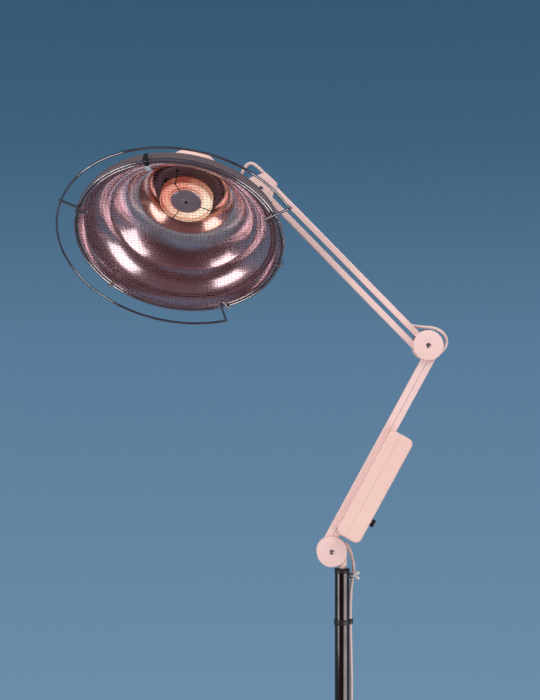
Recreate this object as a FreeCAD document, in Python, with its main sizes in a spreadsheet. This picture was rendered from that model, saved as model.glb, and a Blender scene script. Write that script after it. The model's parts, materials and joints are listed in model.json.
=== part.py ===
import FreeCAD, Part
import Sketcher
import math
import os

# An infrared heat therapy lamp on a floor stand. A round weighted foot carries a tube column. A yoke
# swivels in the column's top, two parallelogram arms rise from it, and the heater head hangs on a
# spindle and a knuckle at their end. Millimetres. +Z is up, the origin is on the floor under the
# column's axis, and the front of the lamp faces -Y.

DIMENSIONS = {
    # Foot and column
    "base_cover_radius": 200.0,
    "base_cover_wall": 2.0,
    "base_rim_height": 14.0,
    "base_crown_height": 10.0,
    "base_crown_margin": 20.0,
    "base_shoulder": 3.0,
    "weight_margin": 10.0,
    "weight_height": 16.0,
    "foot_mat_margin": 10.0,
    "foot_mat_height": 4.0,
    "socket_flange_radius": 34.0,
    "socket_flange_height": 4.0,
    "socket_radius": 18.0,
    "socket_height": 28.0,
    "socket_edge": 2.0,
    "column_radius": 12.4,
    "column_wall": 2.0,
    "column_top": 943.0,
    "collar_height": 7.0,
    "collar_lip": 0.3,
    "collar_edge": 2.0,
    "collar_spigot": 42.0,
    "slot_clearance": 0.05,
    # Cord clips on the column
    "clip_high": 862.0,
    "clip_middle": 640.0,
    "clip_low": 414.0,
    "clip_height": 8.0,
    "clip_wall": 1.2,
    # Wing screw
    "clamp_height": 11.5,
    "insert_radius": 4.2,
    "insert_length": 5.5,
    "screw_radius": 2.6,
    "wing_length": 10.5,
    "wing_width": 5.0,
    "wing_thickness": 2.0,
    "wing_angle": 34.0,
    "boss_length": 4.0,
    # Yoke
    "pin_radius": 5.0,
    "neck_radius": 6.5,
    "pin_depth": 38.0,
    "washer_height": 0.8,
    "washer_margin": 2.0,
    "running_gap": 0.05,
    "hub_rise": 28.5,
    "yoke_hub_x": -17.2,
    "hub_radius": 25.0,
    "cover_thickness": 3.2,
    "cover_edge": 1.2,
    "plate_thickness": 2.5,
    "plate_radius": 23.0,
    "yoke_tab_height": 20.0,
    "yoke_tab_width": 14.4,
    "side_clearance": 0.4,
    "lower_pivot_height": 11.2,
    "yoke_pivot_x": 13.2,
    "pivot_radius": 3.0,
    "bore_clearance": 0.05,
    "open_pivot_clearance": 0.3,
    "cover_screw_radius": 3.3,
    "cover_screw_height": 1.6,
    "cover_screw_shank": 1.8,
    "screw_slot": 0.8,
    # Arms
    "rail_depth": 12.0,
    "rail_wall": 1.2,
    "lower_rail_width": 10.2,
    "lower_arm_length": 386.6,
    "lower_arm_angle": 61.46,
    "upper_rail_width": 10.1,
    "upper_pivot_height": 12.5,
    "upper_arm_length": 363.7,
    "upper_arm_angle": 45.53,
    "arm_pitch": 15.0,
    "elbow_lower_x": 12.9,
    "elbow_upper_x": 10.4,
    "spring_radius": 3.2,
    "spring_wire": 0.9,
    "spring_length": 170.0,
    "spring_start": 60.0,
    # Control box on the lower arm
    "box_start": 48.5,
    "box_length": 192.0,
    "box_width": 43.2,
    "box_split": 18.2,
    "box_lap": 0.8,
    "box_edge": 3.5,
    "box_front": 30.0,
    "box_back": 1.2,
    "box_corner": 10.0,
    "box_wall": 2.0,
    "box_seam": 0.2,
    "knob_position": 90.0,
    "knob_radius": 6.5,
    "knob_height": 7.4,
    "knob_gap": 0.5,
    "knob_shaft_radius": 3.0,
    "knob_depth": 12.0,
    "indicator_margin": 45.0,
    "indicator_radius": 2.2,
    "indicator_height": 1.5,
    "timer_length": 34.0,
    "timer_width": 22.0,
    "timer_depth": 15.0,
    # Head bracket and knuckle
    "bracket_pivot_x": 10.2,
    "knuckle_reach": 60.3,
    "knuckle_rise": 7.8,
    "block_start": 5.0,
    "block_length": 16.0,
    "block_height": 17.0,
    "spindle_radius": 4.5,
    "spindle_nut_radius": 5.8,
    "spindle_nut_height": 4.0,
    "fork_thickness": 3.0,
    "fork_radius": 9.0,
    "lug_thickness": 8.0,
    "lug_radius": 8.5,
    "knuckle_pin_radius": 3.0,
    # Head: depths run back from the mouth along the dish's axis
    "head_tilt": 48.95,
    "head_swing": 5.75,
    "knuckle_offset": 58.0,
    "knuckle_depth": 132.0,
    "dish_radius": 168.0,
    "dish_wall": 1.2,
    "mouth_lip": 2.0,
    "ridge_step": 3.0,
    "ridge_land": 1.5,
    "zone_bulge": 3.0,
    "outer_ridge_radius": 149.5,
    "outer_ridge_depth": 14.0,
    "middle_ridge_radius": 119.0,
    "middle_ridge_depth": 42.0,
    "inner_ridge_radius": 81.0,
    "inner_ridge_depth": 89.0,
    "cap_radius": 55.5,
    "cap_depth": 110.0,
    "dish_depth": 113.0,
    "skirt_radius": 171.5,
    "skirt_depth": 12.5,
    "rim_wire_radius": 2.0,
    "grille_radius": 163.5,
    "grille_wire_radius": 0.45,
    "grille_ring_radius": 1.6,
    "grille_pitch": 12.0,
    "clip_angle": 15.0,
    "clip_width": 7.0,
    "clip_thickness": 1.2,
    "clip_reach": 4.0,
    "clip_leg": 15.0,
    "housing_radius": 44.0,
    "housing_depth": 52.0,
    "housing_wall": 1.5,
    "housing_edge": 4.0,
    "lead_spacing": 9.1,
    "lead_boss_height": 5.0,
    "guard_radius": 201.2,
    "guard_wire_radius": 2.0,
    "guard_start": 67.0,
    "guard_post": 201.0,
    "guard_end": 335.0,
    "guard_inner": 148.5,
    "guard_hook": 12.5,
    "guard_return": 22.0,
    # Heater
    "heater_outer": 43.5,
    "heater_inner": 25.6,
    "heater_front": 82.0,
    "heater_thickness": 16.0,
    "heater_wall": 2.5,
    "heater_coil_radius": 4.6,
    "support_radius": 1.0,
    "centre_disc_radius": 23.0,
    "centre_disc_depth": 84.0,
    "centre_post_radius": 5.0,
    "terminal_radius": 3.5,
    # Cords
    "cord_radius": 2.6,
    "gland_wall": 1.3,
    "gland_length": 10.5,
    "coil_radius": 30.0,
    "coil_band": 15.6,
    "plug_length": 38.0,
    "plug_width": 34.0,
    "plug_height": 22.0,
}

doc = FreeCAD.newDocument("heat_therapy_lamp")
sheet = doc.addObject("Spreadsheet::Sheet", "sizes")
for row, (alias, number) in enumerate(DIMENSIONS.items(), 1):
    sheet.set(f"A{row}", alias)
    sheet.set(f"B{row}", str(number))
    sheet.setAlias(f"B{row}", alias)
doc.recompute()


class Size:
    """A number together with the sheet expression that gives it."""

    def __init__(self, text, value):
        self.text = text
        self.value = float(value)

    def combined(self, sign, other, value, swapped=False):
        other_text = other.text if isinstance(other, Size) else repr(float(other))
        left, right = (other_text, self.text) if swapped else (self.text, other_text)
        return Size(f"({left} {sign} {right})", value)

    def __add__(self, other):
        return self.combined("+", other, self.value + float(other))

    def __radd__(self, other):
        return self.combined("+", other, float(other) + self.value, swapped=True)

    def __sub__(self, other):
        return self.combined("-", other, self.value - float(other))

    def __rsub__(self, other):
        return self.combined("-", other, float(other) - self.value, swapped=True)

    def __mul__(self, other):
        return self.combined("*", other, self.value * float(other))

    def __rmul__(self, other):
        return self.combined("*", other, float(other) * self.value, swapped=True)

    def __truediv__(self, other):
        return self.combined("/", other, self.value / float(other))

    def __neg__(self):
        return Size(f"(0 - {self.text})", -self.value)

    def __float__(self):
        return self.value


def sine(angle):
    return Size(f"sin({angle.text})", math.sin(math.radians(angle.value)))


def cosine(angle):
    return Size(f"cos({angle.text})", math.cos(math.radians(angle.value)))


class Sheet:
    """Gives each cell of the sheet by its alias."""

    def __getattr__(self, alias):
        return Size(f"sizes.{alias}", DIMENSIONS[alias])


d = Sheet()
subparts = []
seats = {}

# How far a cutting shape reaches past the face that it leaves through, and how far two shapes of one
# piece reach into each other where they join
CUT_MARGIN = 1.0
WELD_DEPTH = 1.0


# Helpers: places and expressions

def text_of(value):
    return value.text if isinstance(value, Size) else repr(float(value))


def bind(thing, name, value):
    """Sets a size and ties it to the sheet."""
    setattr(thing, name, float(value))
    if isinstance(value, Size):
        thing.setExpression(name, value.text)


def vector(point):
    return FreeCAD.Vector(*[float(value) for value in point])


class Frame:
    """A placement with the expression that gives it."""

    def __init__(self, text, placement):
        self.text = text
        self.placement = placement

    def then(self, inner):
        return Frame(f"{self.text} * {inner.text}", self.placement.multiply(inner.placement))

    def point(self, place):
        return self.placement.multVec(vector(place))


def frame(at=(0, 0, 0), axis=(0, 0, 1), angle=0):
    base = "; ".join(text_of(value) for value in at)
    spin = "; ".join(repr(float(value)) for value in axis)
    text = f"placement(vector({base}); rotation(vector({spin}); {text_of(angle)}))"
    turn = FreeCAD.Rotation(vector(axis), float(angle))
    return Frame(text, FreeCAD.Placement(vector(at), turn))


ALONG = {
    "z": ((0, 0, 1), 0),
    "y": ((1, 0, 0), -90),
    "-y": ((1, 0, 0), 90),
    "x": ((0, 1, 0), 90),
    "-x": ((0, 1, 0), -90),
}


def seat(thing, place):
    thing.Placement = place.placement
    thing.setExpression("Placement", place.text)
    seats[thing.Name] = place
    return thing


def moved(thing, place):
    """Carries a thing along with a frame, from where it was seated before."""
    return seat(thing, place.then(seats[thing.Name]) if thing.Name in seats else place)


def finish(thing, label, place=None):
    """Names a finished sub-part and puts it in its place."""
    thing.Label = label
    moved(thing, place or frame())
    subparts.append(thing)
    return thing


# Helpers: solids

def block(start, size):
    solid = doc.addObject("Part::Box", "block")
    for name, value in zip(("Length", "Width", "Height"), size):
        bind(solid, name, value)
    return seat(solid, frame(start))


def rod(start, along, radius, length):
    solid = doc.addObject("Part::Cylinder", "rod")
    bind(solid, "Radius", radius)
    bind(solid, "Height", length)
    axis, angle = ALONG[along]
    return seat(solid, frame(start, axis, angle))


def fused(*solids):
    union = doc.addObject("Part::MultiFuse", "union")
    union.Shapes = list(solids)
    return union


def bore(start, along, radius, length):
    """A rod for cutting right through: it starts and ends past the faces that are given."""
    axis, angle = ALONG[along]
    solid = doc.addObject("Part::Cylinder", "bore")
    bind(solid, "Radius", radius)
    bind(solid, "Height", length + CUT_MARGIN * 2)
    return seat(solid, frame(start, axis, angle).then(frame((0, 0, -CUT_MARGIN))))


def cut(base, *tools):
    result = doc.addObject("Part::Cut", "cut")
    result.Base = base
    result.Tool = tools[0] if len(tools) == 1 else fused(*tools)
    return result


def group(*solids):
    together = doc.addObject("Part::Compound", "group")
    together.Links = list(solids)
    return together


def plain(shape):
    feature = doc.addObject("Part::Feature", "plain")
    feature.Shape = shape
    return feature


def new_sketch(body, plane):
    sketch = body.newObject("Sketcher::SketchObject", "outline")
    datum = next(part for part in body.Origin.OriginFeatures if part.Role == plane)
    sketch.AttachmentSupport = [(datum, "")]
    sketch.MapMode = "FlatFace"
    return sketch


def place_point(sketch, line, end, point):
    """Fixes one end of a line, or a centre, at x and y from the sketch's origin."""
    for kind, value in zip(("DistanceX", "DistanceY"), point):
        index = sketch.addConstraint(Sketcher.Constraint(kind, -1, 1, line, end, float(value)))
        sketch.setExpression(f"Constraints[{index}]", text_of(value))


def draw_polygon(sketch, corners):
    first = sketch.GeometryCount
    count = len(corners)
    for index in range(count):
        start = FreeCAD.Vector(float(corners[index][0]), float(corners[index][1]), 0)
        after = corners[(index + 1) % count]
        sketch.addGeometry(Part.LineSegment(start, FreeCAD.Vector(float(after[0]), float(after[1]), 0)))
    for index in range(count):
        following = first + (index + 1) % count
        sketch.addConstraint(Sketcher.Constraint("Coincident", first + index, 2, following, 1))
        place_point(sketch, first + index, 1, corners[index])


def draw_circle(sketch, centre, radius):
    middle = FreeCAD.Vector(float(centre[0]), float(centre[1]), 0)
    line = sketch.addGeometry(Part.Circle(middle, FreeCAD.Vector(0, 0, 1), float(radius)))
    index = sketch.addConstraint(Sketcher.Constraint("Radius", line, float(radius)))
    sketch.setExpression(f"Constraints[{index}]", text_of(radius))
    place_point(sketch, line, 3, centre)


def draw_slot(sketch, length, radius):
    """A round-ended outline from the origin to a point along x."""
    far, high = float(length), float(radius)
    normal = FreeCAD.Vector(0, 0, 1)
    corner = FreeCAD.Vector
    bottom = sketch.addGeometry(Part.LineSegment(corner(0, -high, 0), corner(far, -high, 0)))
    ring = Part.Circle(corner(far, 0, 0), normal, high)
    right = sketch.addGeometry(Part.ArcOfCircle(ring, -math.pi / 2, math.pi / 2))
    top = sketch.addGeometry(Part.LineSegment(corner(far, high, 0), corner(0, high, 0)))
    ring = Part.Circle(corner(0, 0, 0), normal, high)
    left = sketch.addGeometry(Part.ArcOfCircle(ring, math.pi / 2, 3 * math.pi / 2))
    order = (bottom, right, top, left)
    for line, after in zip(order, order[1:] + order[:1]):
        sketch.addConstraint(Sketcher.Constraint("Tangent", line, 2, after, 1))
    index = sketch.addConstraint(Sketcher.Constraint("Radius", left, high))
    sketch.setExpression(f"Constraints[{index}]", text_of(radius))
    place_point(sketch, left, 3, (0, 0))
    place_point(sketch, right, 3, (length, 0))


def pad(body, sketch, length):
    feature = body.newObject("PartDesign::Pad", "pad")
    feature.Profile = sketch
    feature.SideType = "Symmetric"
    bind(feature, "Length", length)
    return feature


def pocket(body, sketch, length):
    feature = body.newObject("PartDesign::Pocket", "pocket")
    feature.Profile = sketch
    feature.SideType = "Symmetric"
    bind(feature, "Length", length)
    return feature


def plate(corners, thickness, holes=()):
    """A flat piece in the XZ plane, half its thickness to each side, with round holes."""
    body = doc.addObject("PartDesign::Body", "plate")
    sketch = new_sketch(body, "XZ_Plane")
    draw_polygon(sketch, corners)
    pad(body, sketch, thickness)
    drill(body, holes, thickness)
    return body


def disc(radius, thickness, holes=()):
    body = doc.addObject("PartDesign::Body", "disc")
    sketch = new_sketch(body, "XZ_Plane")
    draw_circle(sketch, (0, 0), radius)
    pad(body, sketch, thickness)
    drill(body, holes, thickness)
    return body


def drill(body, holes, thickness):
    for centre, radius in holes:
        sketch = new_sketch(body, "XZ_Plane")
        draw_circle(sketch, centre, radius)
        pocket(body, sketch, thickness * 3)


def turned(corners):
    """A body turned about its own z axis from an outline of radius and height."""
    body = doc.addObject("PartDesign::Body", "turned")
    sketch = new_sketch(body, "XZ_Plane")
    draw_polygon(sketch, corners)
    revolution = body.newObject("PartDesign::Revolution", "revolution")
    revolution.Profile = sketch
    revolution.ReferenceAxis = (sketch, ["V_Axis"])
    revolution.Angle = 360
    return body


# Helpers: cords

def cord_wire(points):
    """Straight runs joined by tangent arcs, each as large as its two runs allow."""
    places = [vector(point) for point in points]
    edges, radii = [], []
    start = places[0]
    for before, corner, after in zip(places, places[1:], places[2:]):
        back, ahead = before - corner, after - corner
        shorter = min(back.Length, ahead.Length)
        back.normalize()
        ahead.normalize()
        half_turn = (math.pi - back.getAngle(ahead)) / 2
        reach = 0.45 * shorter
        radii.append(reach / math.tan(half_turn))
        entry, leave = corner + back * reach, corner + ahead * reach
        bisector = (back + ahead).normalize()
        to_centre = radii[-1] / math.cos(half_turn)
        middle = corner + bisector * (to_centre - radii[-1])
        edges.append(Part.LineSegment(start, entry).toShape())
        edges.append(Part.Arc(entry, middle, leave).toShape())
        start = leave
    edges.append(Part.LineSegment(start, places[-1]).toShape())
    return Part.Wire(edges), radii


def cord_tube(name, points, radius):
    wire, radii = cord_wire(points)
    first = wire.Edges[0]
    direction = first.tangentAt(first.FirstParameter)
    ring = Part.Circle(first.valueAt(first.FirstParameter), direction, float(radius))
    tube = wire.makePipeShell([Part.Wire([ring.toShape()])], True, False)
    expected = math.pi * float(radius) ** 2 * wire.Length
    print(f"{name}: length {wire.Length:.1f}, smallest radius {min(radii):.1f}, "
          f"volume over section times length {tube.Volume / expected:.4f}")
    return tube


# Foot

mat_top = d.foot_mat_height
weight_top = mat_top + d.weight_height
weight_radius = d.base_cover_radius - d.weight_margin
mat_radius = weight_radius - d.foot_mat_margin
cover_rise = weight_top + d.base_crown_height
socket_base = cover_rise + d.base_cover_wall
tube_bottom = mat_top + d.weight_height / 2
column_bore = d.column_radius - d.column_wall

finish(rod((0, 0, 0), "z", mat_radius, d.foot_mat_height), "foot_mat")

weight = turned([
    (d.column_radius, tube_bottom),
    (d.column_radius, weight_top),
    (weight_radius, weight_top),
    (weight_radius, mat_top),
    (0, mat_top),
    (0, tube_bottom),
])
finish(weight, "base_weight")

wall = d.base_cover_wall
shoulder = d.base_shoulder
crown_radius = d.socket_flange_radius + d.base_crown_margin
rim_bottom = weight_top - d.base_rim_height
base_cover = turned([
    (d.column_radius, cover_rise),
    (crown_radius, cover_rise),
    (weight_radius, weight_top + d.slot_clearance),
    (d.base_cover_radius - wall, weight_top - shoulder - wall / 2),
    (d.base_cover_radius - wall, rim_bottom),
    (d.base_cover_radius, rim_bottom),
    (d.base_cover_radius, weight_top - shoulder),
    (d.base_cover_radius - shoulder, weight_top + wall * 0.2),
    (weight_radius, weight_top + wall * 1.15),
    (crown_radius, cover_rise + wall),
    (d.column_radius, cover_rise + wall),
])
finish(base_cover, "base_cover")

edge = d.socket_edge
flange_top = socket_base + d.socket_flange_height
socket_top = socket_base + d.socket_height
socket = turned([
    (d.column_radius, socket_base),
    (d.socket_flange_radius, socket_base),
    (d.socket_flange_radius, flange_top - edge / 2),
    (d.socket_flange_radius - edge / 2, flange_top),
    (d.socket_radius + edge, flange_top),
    (d.socket_radius, flange_top + edge * 1.5),
    (d.socket_radius, socket_top - edge),
    (d.socket_radius - edge, socket_top),
    (d.column_radius, socket_top),
])
finish(socket, "column_socket")

# Column with its collar

collar_top = d.column_top + d.collar_height
clamp_z = collar_top - d.clamp_height
tube_length = d.column_top - tube_bottom

column = cut(
    rod((0, 0, tube_bottom), "z", d.column_radius, tube_length),
    bore((0, 0, tube_bottom), "z", column_bore, tube_length),
    bore((0, 0, clamp_z), "x", d.insert_radius, d.column_radius),
)
finish(column, "column_tube")

collar_outer = d.column_radius + d.collar_lip
collar_bore = d.pin_radius + d.bore_clearance
collar_body = turned([
    (collar_bore, d.column_top - d.collar_spigot),
    (column_bore, d.column_top - d.collar_spigot),
    (column_bore, d.column_top),
    (collar_outer, d.column_top),
    (collar_outer, collar_top - d.collar_edge),
    (collar_outer - d.collar_edge * 0.3, collar_top - d.collar_edge * 0.3),
    (collar_outer - d.collar_edge, collar_top),
    (collar_bore, collar_top),
])
collar = cut(collar_body, bore((0, 0, clamp_z), "x", d.insert_radius, collar_outer))
finish(collar, "column_collar")

insert_start = d.pin_radius + 1
insert_end = d.column_radius + d.insert_length
insert_length = insert_end - insert_start
insert = cut(
    rod((insert_start, 0, clamp_z), "x", d.insert_radius, insert_length),
    bore((insert_start, 0, clamp_z), "x", d.screw_radius + d.bore_clearance, insert_length),
)
finish(insert, "clamp_insert")

# Wing screw: its tip bears on the yoke's pin, its two wings spread up and down

screw_tip = d.pin_radius + d.running_gap * 2
wing_root = insert_end + d.side_clearance
wing_start = wing_root + d.boss_length * 0.375
screw_bits = [
    rod((screw_tip, 0, clamp_z), "x", d.screw_radius, wing_root - screw_tip),
    rod((wing_root, 0, clamp_z), "x", d.insert_radius - d.side_clearance, d.boss_length),
]
for side in (1, -1):
    wing = block(
        (0, -d.wing_thickness / 2, -d.wing_width / 2),
        (d.wing_length, d.wing_thickness, d.wing_width),
    )
    screw_bits.append(moved(wing, frame((wing_start, 0, clamp_z), (0, 1, 0), d.wing_angle * -side)))
finish(fused(*screw_bits), "wing_screw")

# Yoke: a pin in the column, a saddle and two cheeks that hold the lower arm's two pivots

rail_half = d.rail_depth / 2
cheek_inner = rail_half + d.side_clearance
cheek_middle = cheek_inner + d.plate_thickness / 2
cheek_outer = cheek_inner + d.plate_thickness
hub_height = collar_top + d.hub_rise
yoke_holes = [((-d.yoke_pivot_x, side * d.lower_pivot_height), d.pivot_radius) for side in (1, -1)]
screw_hole = ((0, 0), d.cover_screw_shank)

cheeks = []
for side in (-1, 1):
    cheek = disc(d.plate_radius, d.plate_thickness, yoke_holes + [screw_hole])
    cheeks.append(seat(cheek, frame((d.yoke_hub_x, side * cheek_middle, hub_height))))
saddle_bottom = hub_height - d.plate_radius + 1.2
saddle_top = hub_height - d.lower_pivot_height - 5
saddle = block(
    (d.yoke_hub_x, -cheek_outer, saddle_bottom),
    (d.yoke_tab_width / 2 - d.yoke_hub_x, cheek_outer * 2, saddle_top - saddle_bottom),
)
neck_bottom = collar_top + d.washer_height + d.running_gap * 2
neck_top = saddle_bottom + WELD_DEPTH
pin_bottom = collar_top - d.pin_depth
neck = rod((0, 0, neck_bottom), "z", d.neck_radius, neck_top - neck_bottom)
pin = rod((0, 0, pin_bottom), "z", d.pin_radius, neck_bottom + WELD_DEPTH - pin_bottom)
tabs = [
    block(
        (-d.yoke_tab_width / 2, start, saddle_bottom),
        (d.yoke_tab_width, d.plate_thickness, d.yoke_tab_height),
    )
    for start in (-cheek_outer, cheek_inner)
]
finish(fused(pin, neck, saddle, *cheeks, *tabs), "yoke_frame")

washer_bottom = collar_top + d.running_gap
washer = cut(
    rod((0, 0, washer_bottom), "z", d.neck_radius + d.washer_margin, d.washer_height),
    bore((0, 0, washer_bottom), "z", collar_bore, d.washer_height),
)
finish(washer, "thrust_washer")


def pivot_pins(places, start, end):
    return group(*[rod((x, start, z), "y", d.pivot_radius, end - start) for x, z in places])


lower_pivots = [
    (d.yoke_hub_x - d.yoke_pivot_x, hub_height + d.lower_pivot_height),
    (d.yoke_hub_x - d.yoke_pivot_x, hub_height - d.lower_pivot_height),
]
finish(pivot_pins(lower_pivots, -cheek_outer, cheek_outer), "yoke_pivot_pins")


def hub_cover():
    """A pressed cap with a chamfered edge, its open side towards +z."""
    inner = d.hub_radius - 1
    return turned([
        (d.cover_screw_shank, 0),
        (d.hub_radius - d.cover_edge, 0),
        (d.hub_radius, d.cover_edge),
        (d.hub_radius, d.cover_thickness),
        (inner, d.cover_thickness),
        (inner, d.cover_thickness - 0.8),
        (d.cover_screw_shank, d.cover_thickness - 0.8),
    ])


def cover_screw(place, along):
    """A screw whose round head has a cross slot, with its shank through the cover and the plate."""
    radius, slot = d.cover_screw_radius, d.screw_slot
    slot_bottom = -d.cover_screw_height - d.slot_clearance
    head = rod((0, 0, -d.cover_screw_height), "z", radius, d.cover_screw_height)
    slots = [
        block((-radius, -slot / 2, slot_bottom), (radius * 2, slot, slot)),
        block((-slot / 2, -radius, slot_bottom), (slot, radius * 2, slot)),
    ]
    shank = rod((0, 0, 0), "z", d.cover_screw_shank, d.cover_thickness + d.plate_thickness - 0.5)
    axis, angle = ALONG[along]
    return seat(fused(cut(head, *slots), shank), frame(place, axis, angle))


front_cap = -cheek_outer - d.cover_thickness
back_cap = cheek_outer + d.cover_thickness
turn_back = ALONG["y"]
turn_front = ALONG["-y"]
finish(hub_cover(), "yoke_front_cover", frame((d.yoke_hub_x, front_cap, hub_height), *turn_back))
finish(hub_cover(), "yoke_back_cover", frame((d.yoke_hub_x, back_cap, hub_height), *turn_front))
yoke_screws = group(
    cover_screw((d.yoke_hub_x, front_cap, hub_height), "y"),
    cover_screw((d.yoke_hub_x, back_cap, hub_height), "-y"),
)
finish(yoke_screws, "yoke_screws")

# Arms: channel rails, each open towards its partner


def rail(width, length, opening, end_clearance):
    """A channel from one pivot to the next along x. opening is 1 where it opens towards +z."""
    body = doc.addObject("PartDesign::Body", "rail")
    outline = new_sketch(body, "XZ_Plane")
    draw_slot(outline, length, width / 2)
    pad(body, outline, d.rail_depth)
    channel = new_sketch(body, "XZ_Plane")
    floor = (d.rail_wall - width / 2) * opening
    mouth = width * opening
    draw_polygon(channel, [
        (-width, floor),
        (length + width, floor),
        (length + width, mouth),
        (-width, mouth),
    ])
    pocket(body, channel, d.rail_depth - d.rail_wall * 2)
    for x, clearance in ((0, d.bore_clearance), (length, end_clearance)):
        hole = new_sketch(body, "XZ_Plane")
        draw_circle(hole, (x, 0), d.pivot_radius + clearance)
        pocket(body, hole, d.rail_depth + 2)
    return body


def lower_frame(index):
    x, z = lower_pivots[index]
    return frame((x, 0, z), (0, 1, 0), -d.lower_arm_angle)


lower_link = rail(d.lower_rail_width, d.lower_arm_length, -1, d.open_pivot_clearance)
finish(lower_link, "lower_link_rail", lower_frame(0))
lower_main = rail(d.lower_rail_width, d.lower_arm_length, 1, d.bore_clearance)
finish(lower_main, "lower_main_rail", lower_frame(1))


def spring(width, opening, place, label):
    """A tension spring of closed turns lying in a channel, with a straight hook at each end."""
    lift = (width / 2 - d.rail_wall - d.spring_radius - 0.3) * -opening
    hook = d.spring_radius * 2.5
    coils = cut(
        rod((d.spring_start, 0, lift), "x", d.spring_radius, d.spring_length),
        rod((d.spring_start - 1, 0, lift), "x", d.spring_radius - d.spring_wire * 2, d.spring_length + 2),
    )
    high = lift + (d.spring_radius - d.spring_wire)
    hook_wire = d.spring_wire * 0.8
    left = rod((d.spring_start - hook, 0, high), "x", hook_wire, hook + 2)
    right = rod((d.spring_start + d.spring_length - 2, 0, high), "x", hook_wire, hook + 2)
    finish(fused(coils, left, right), label, place)


spring(d.lower_rail_width, -1, lower_frame(0), "lower_arm_spring")

# Elbow: three plates and two covers. The lower arm's pivots are right of its centre in the front
# bay, the upper arm's are left of it in the back bay.

elbow_x = d.yoke_hub_x - d.yoke_pivot_x + d.lower_arm_length * cosine(d.lower_arm_angle) - d.elbow_lower_x
elbow_z = hub_height + d.lower_arm_length * sine(d.lower_arm_angle)
middle_inner = cheek_inner
middle_outer = d.arm_pitch - rail_half - d.side_clearance
back_inner = d.arm_pitch + rail_half + d.side_clearance
back_outer = back_inner + d.plate_thickness
right_holes = [((d.elbow_lower_x, side * d.lower_pivot_height), d.pivot_radius) for side in (1, -1)]
left_holes = [((-d.elbow_upper_x, side * d.upper_pivot_height), d.pivot_radius) for side in (1, -1)]

front_plate = disc(d.plate_radius, d.plate_thickness, right_holes + [screw_hole])
finish(front_plate, "elbow_front_plate", frame((elbow_x, -cheek_middle, elbow_z)))
middle_plate = disc(d.plate_radius, middle_outer - middle_inner, right_holes + left_holes)
finish(middle_plate, "elbow_middle_plate", frame((elbow_x, (middle_inner + middle_outer) / 2, elbow_z)))
back_plate = disc(d.plate_radius, d.plate_thickness, left_holes + [screw_hole])
finish(back_plate, "elbow_back_plate", frame((elbow_x, (back_inner + back_outer) / 2, elbow_z)))
elbow_front_cap = front_cap
elbow_back_cap = back_outer + d.cover_thickness
finish(hub_cover(), "elbow_front_cover", frame((elbow_x, elbow_front_cap, elbow_z), *turn_back))
finish(hub_cover(), "elbow_back_cover", frame((elbow_x, elbow_back_cap, elbow_z), *turn_front))
elbow_screws = group(
    cover_screw((elbow_x, elbow_front_cap, elbow_z), "y"),
    cover_screw((elbow_x, elbow_back_cap, elbow_z), "-y"),
)
finish(elbow_screws, "elbow_screws")


def hub_pivots(centre_x, centre_z, offset, height):
    return [(centre_x + offset, centre_z + side * height) for side in (1, -1)]


elbow_lower_pivots = hub_pivots(elbow_x, elbow_z, d.elbow_lower_x, d.lower_pivot_height)
upper_pivots = hub_pivots(elbow_x, elbow_z, -d.elbow_upper_x, d.upper_pivot_height)
finish(group(
    pivot_pins(elbow_lower_pivots, -cheek_outer, middle_outer),
    pivot_pins(upper_pivots, middle_inner, back_outer),
), "elbow_pivot_pins")


def upper_frame(index):
    x, z = upper_pivots[index]
    return frame((x, d.arm_pitch, z), (0, 1, 0), d.upper_arm_angle - 180)


upper_main = rail(d.upper_rail_width, d.upper_arm_length, 1, d.bore_clearance)
finish(upper_main, "upper_main_rail", upper_frame(0))
upper_link = rail(d.upper_rail_width, d.upper_arm_length, -1, d.open_pivot_clearance)
finish(upper_link, "upper_link_rail", upper_frame(1))
spring(d.upper_rail_width, -1, upper_frame(1), "upper_arm_spring")

# Control box: two shells clamped round the main rail, in the rail's own frame (x along the rail,
# z up-left across it). The inner shell holds the rail, the outer shell carries the knob.

rail_top = d.lower_rail_width / 2
rail_gap = 0.25
box_inner_z = rail_top + d.box_lap
box_outer_z = box_inner_z - d.box_width
split_z = box_inner_z - d.box_split
box_end = d.box_start + d.box_length
box_back_y = rail_half + d.box_back


def rounded_bar(start, end, low, high, front, back, corner, edge=0):
    """A bar along x with rounded corners in the xz plane and, if asked, a rounded front edge."""
    bar = block((start, front, low), (end - start, back - front, high - low))
    doc.recompute()
    corners = [(index, corner) for index, line in enumerate(bar.Shape.Edges, 1)
               if abs(line.tangentAt(line.FirstParameter).y) > 0.9]
    rounded = doc.addObject("Part::Fillet", "rounded")
    rounded.Base = bar
    rounded.Edges = [(index, float(radius), float(radius)) for index, radius in corners]
    if not edge:
        return rounded
    doc.recompute()
    front_edges = [index for index, line in enumerate(rounded.Shape.Edges, 1)
                   if abs(line.BoundBox.YMax - float(front)) < 0.01]
    softened = doc.addObject("Part::Fillet", "softened")
    softened.Base = rounded
    softened.Edges = [(index, float(edge), float(edge)) for index in front_edges]
    return softened


box_skin = rounded_bar(d.box_start, box_end, box_outer_z, box_inner_z, -d.box_front, box_back_y,
                       d.box_corner, d.box_edge)
box_room = rounded_bar(d.box_start + d.box_wall, box_end - d.box_wall, box_outer_z + d.box_wall,
                       box_inner_z - d.box_wall, d.box_wall - d.box_front, -rail_half - 1.5,
                       d.box_corner - d.box_wall)
rail_slot = block(
    (d.box_start - 1, -rail_half - rail_gap, -rail_top - rail_gap),
    (d.box_length + 2, d.rail_depth + rail_gap * 2, d.lower_rail_width * 2),
)
link_relief = block(
    (d.box_start - 1, -rail_half - rail_gap, rail_top),
    (d.box_length + 2, d.rail_depth + 10, d.lower_rail_width * 2),
)
back_room = block(
    (d.box_start + d.box_wall * 4, -rail_half - 2, box_outer_z + d.box_wall),
    (d.box_length - d.box_wall * 8, d.rail_depth + 1.5, d.box_width - d.lower_rail_width - d.box_wall * 2.5),
)
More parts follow.
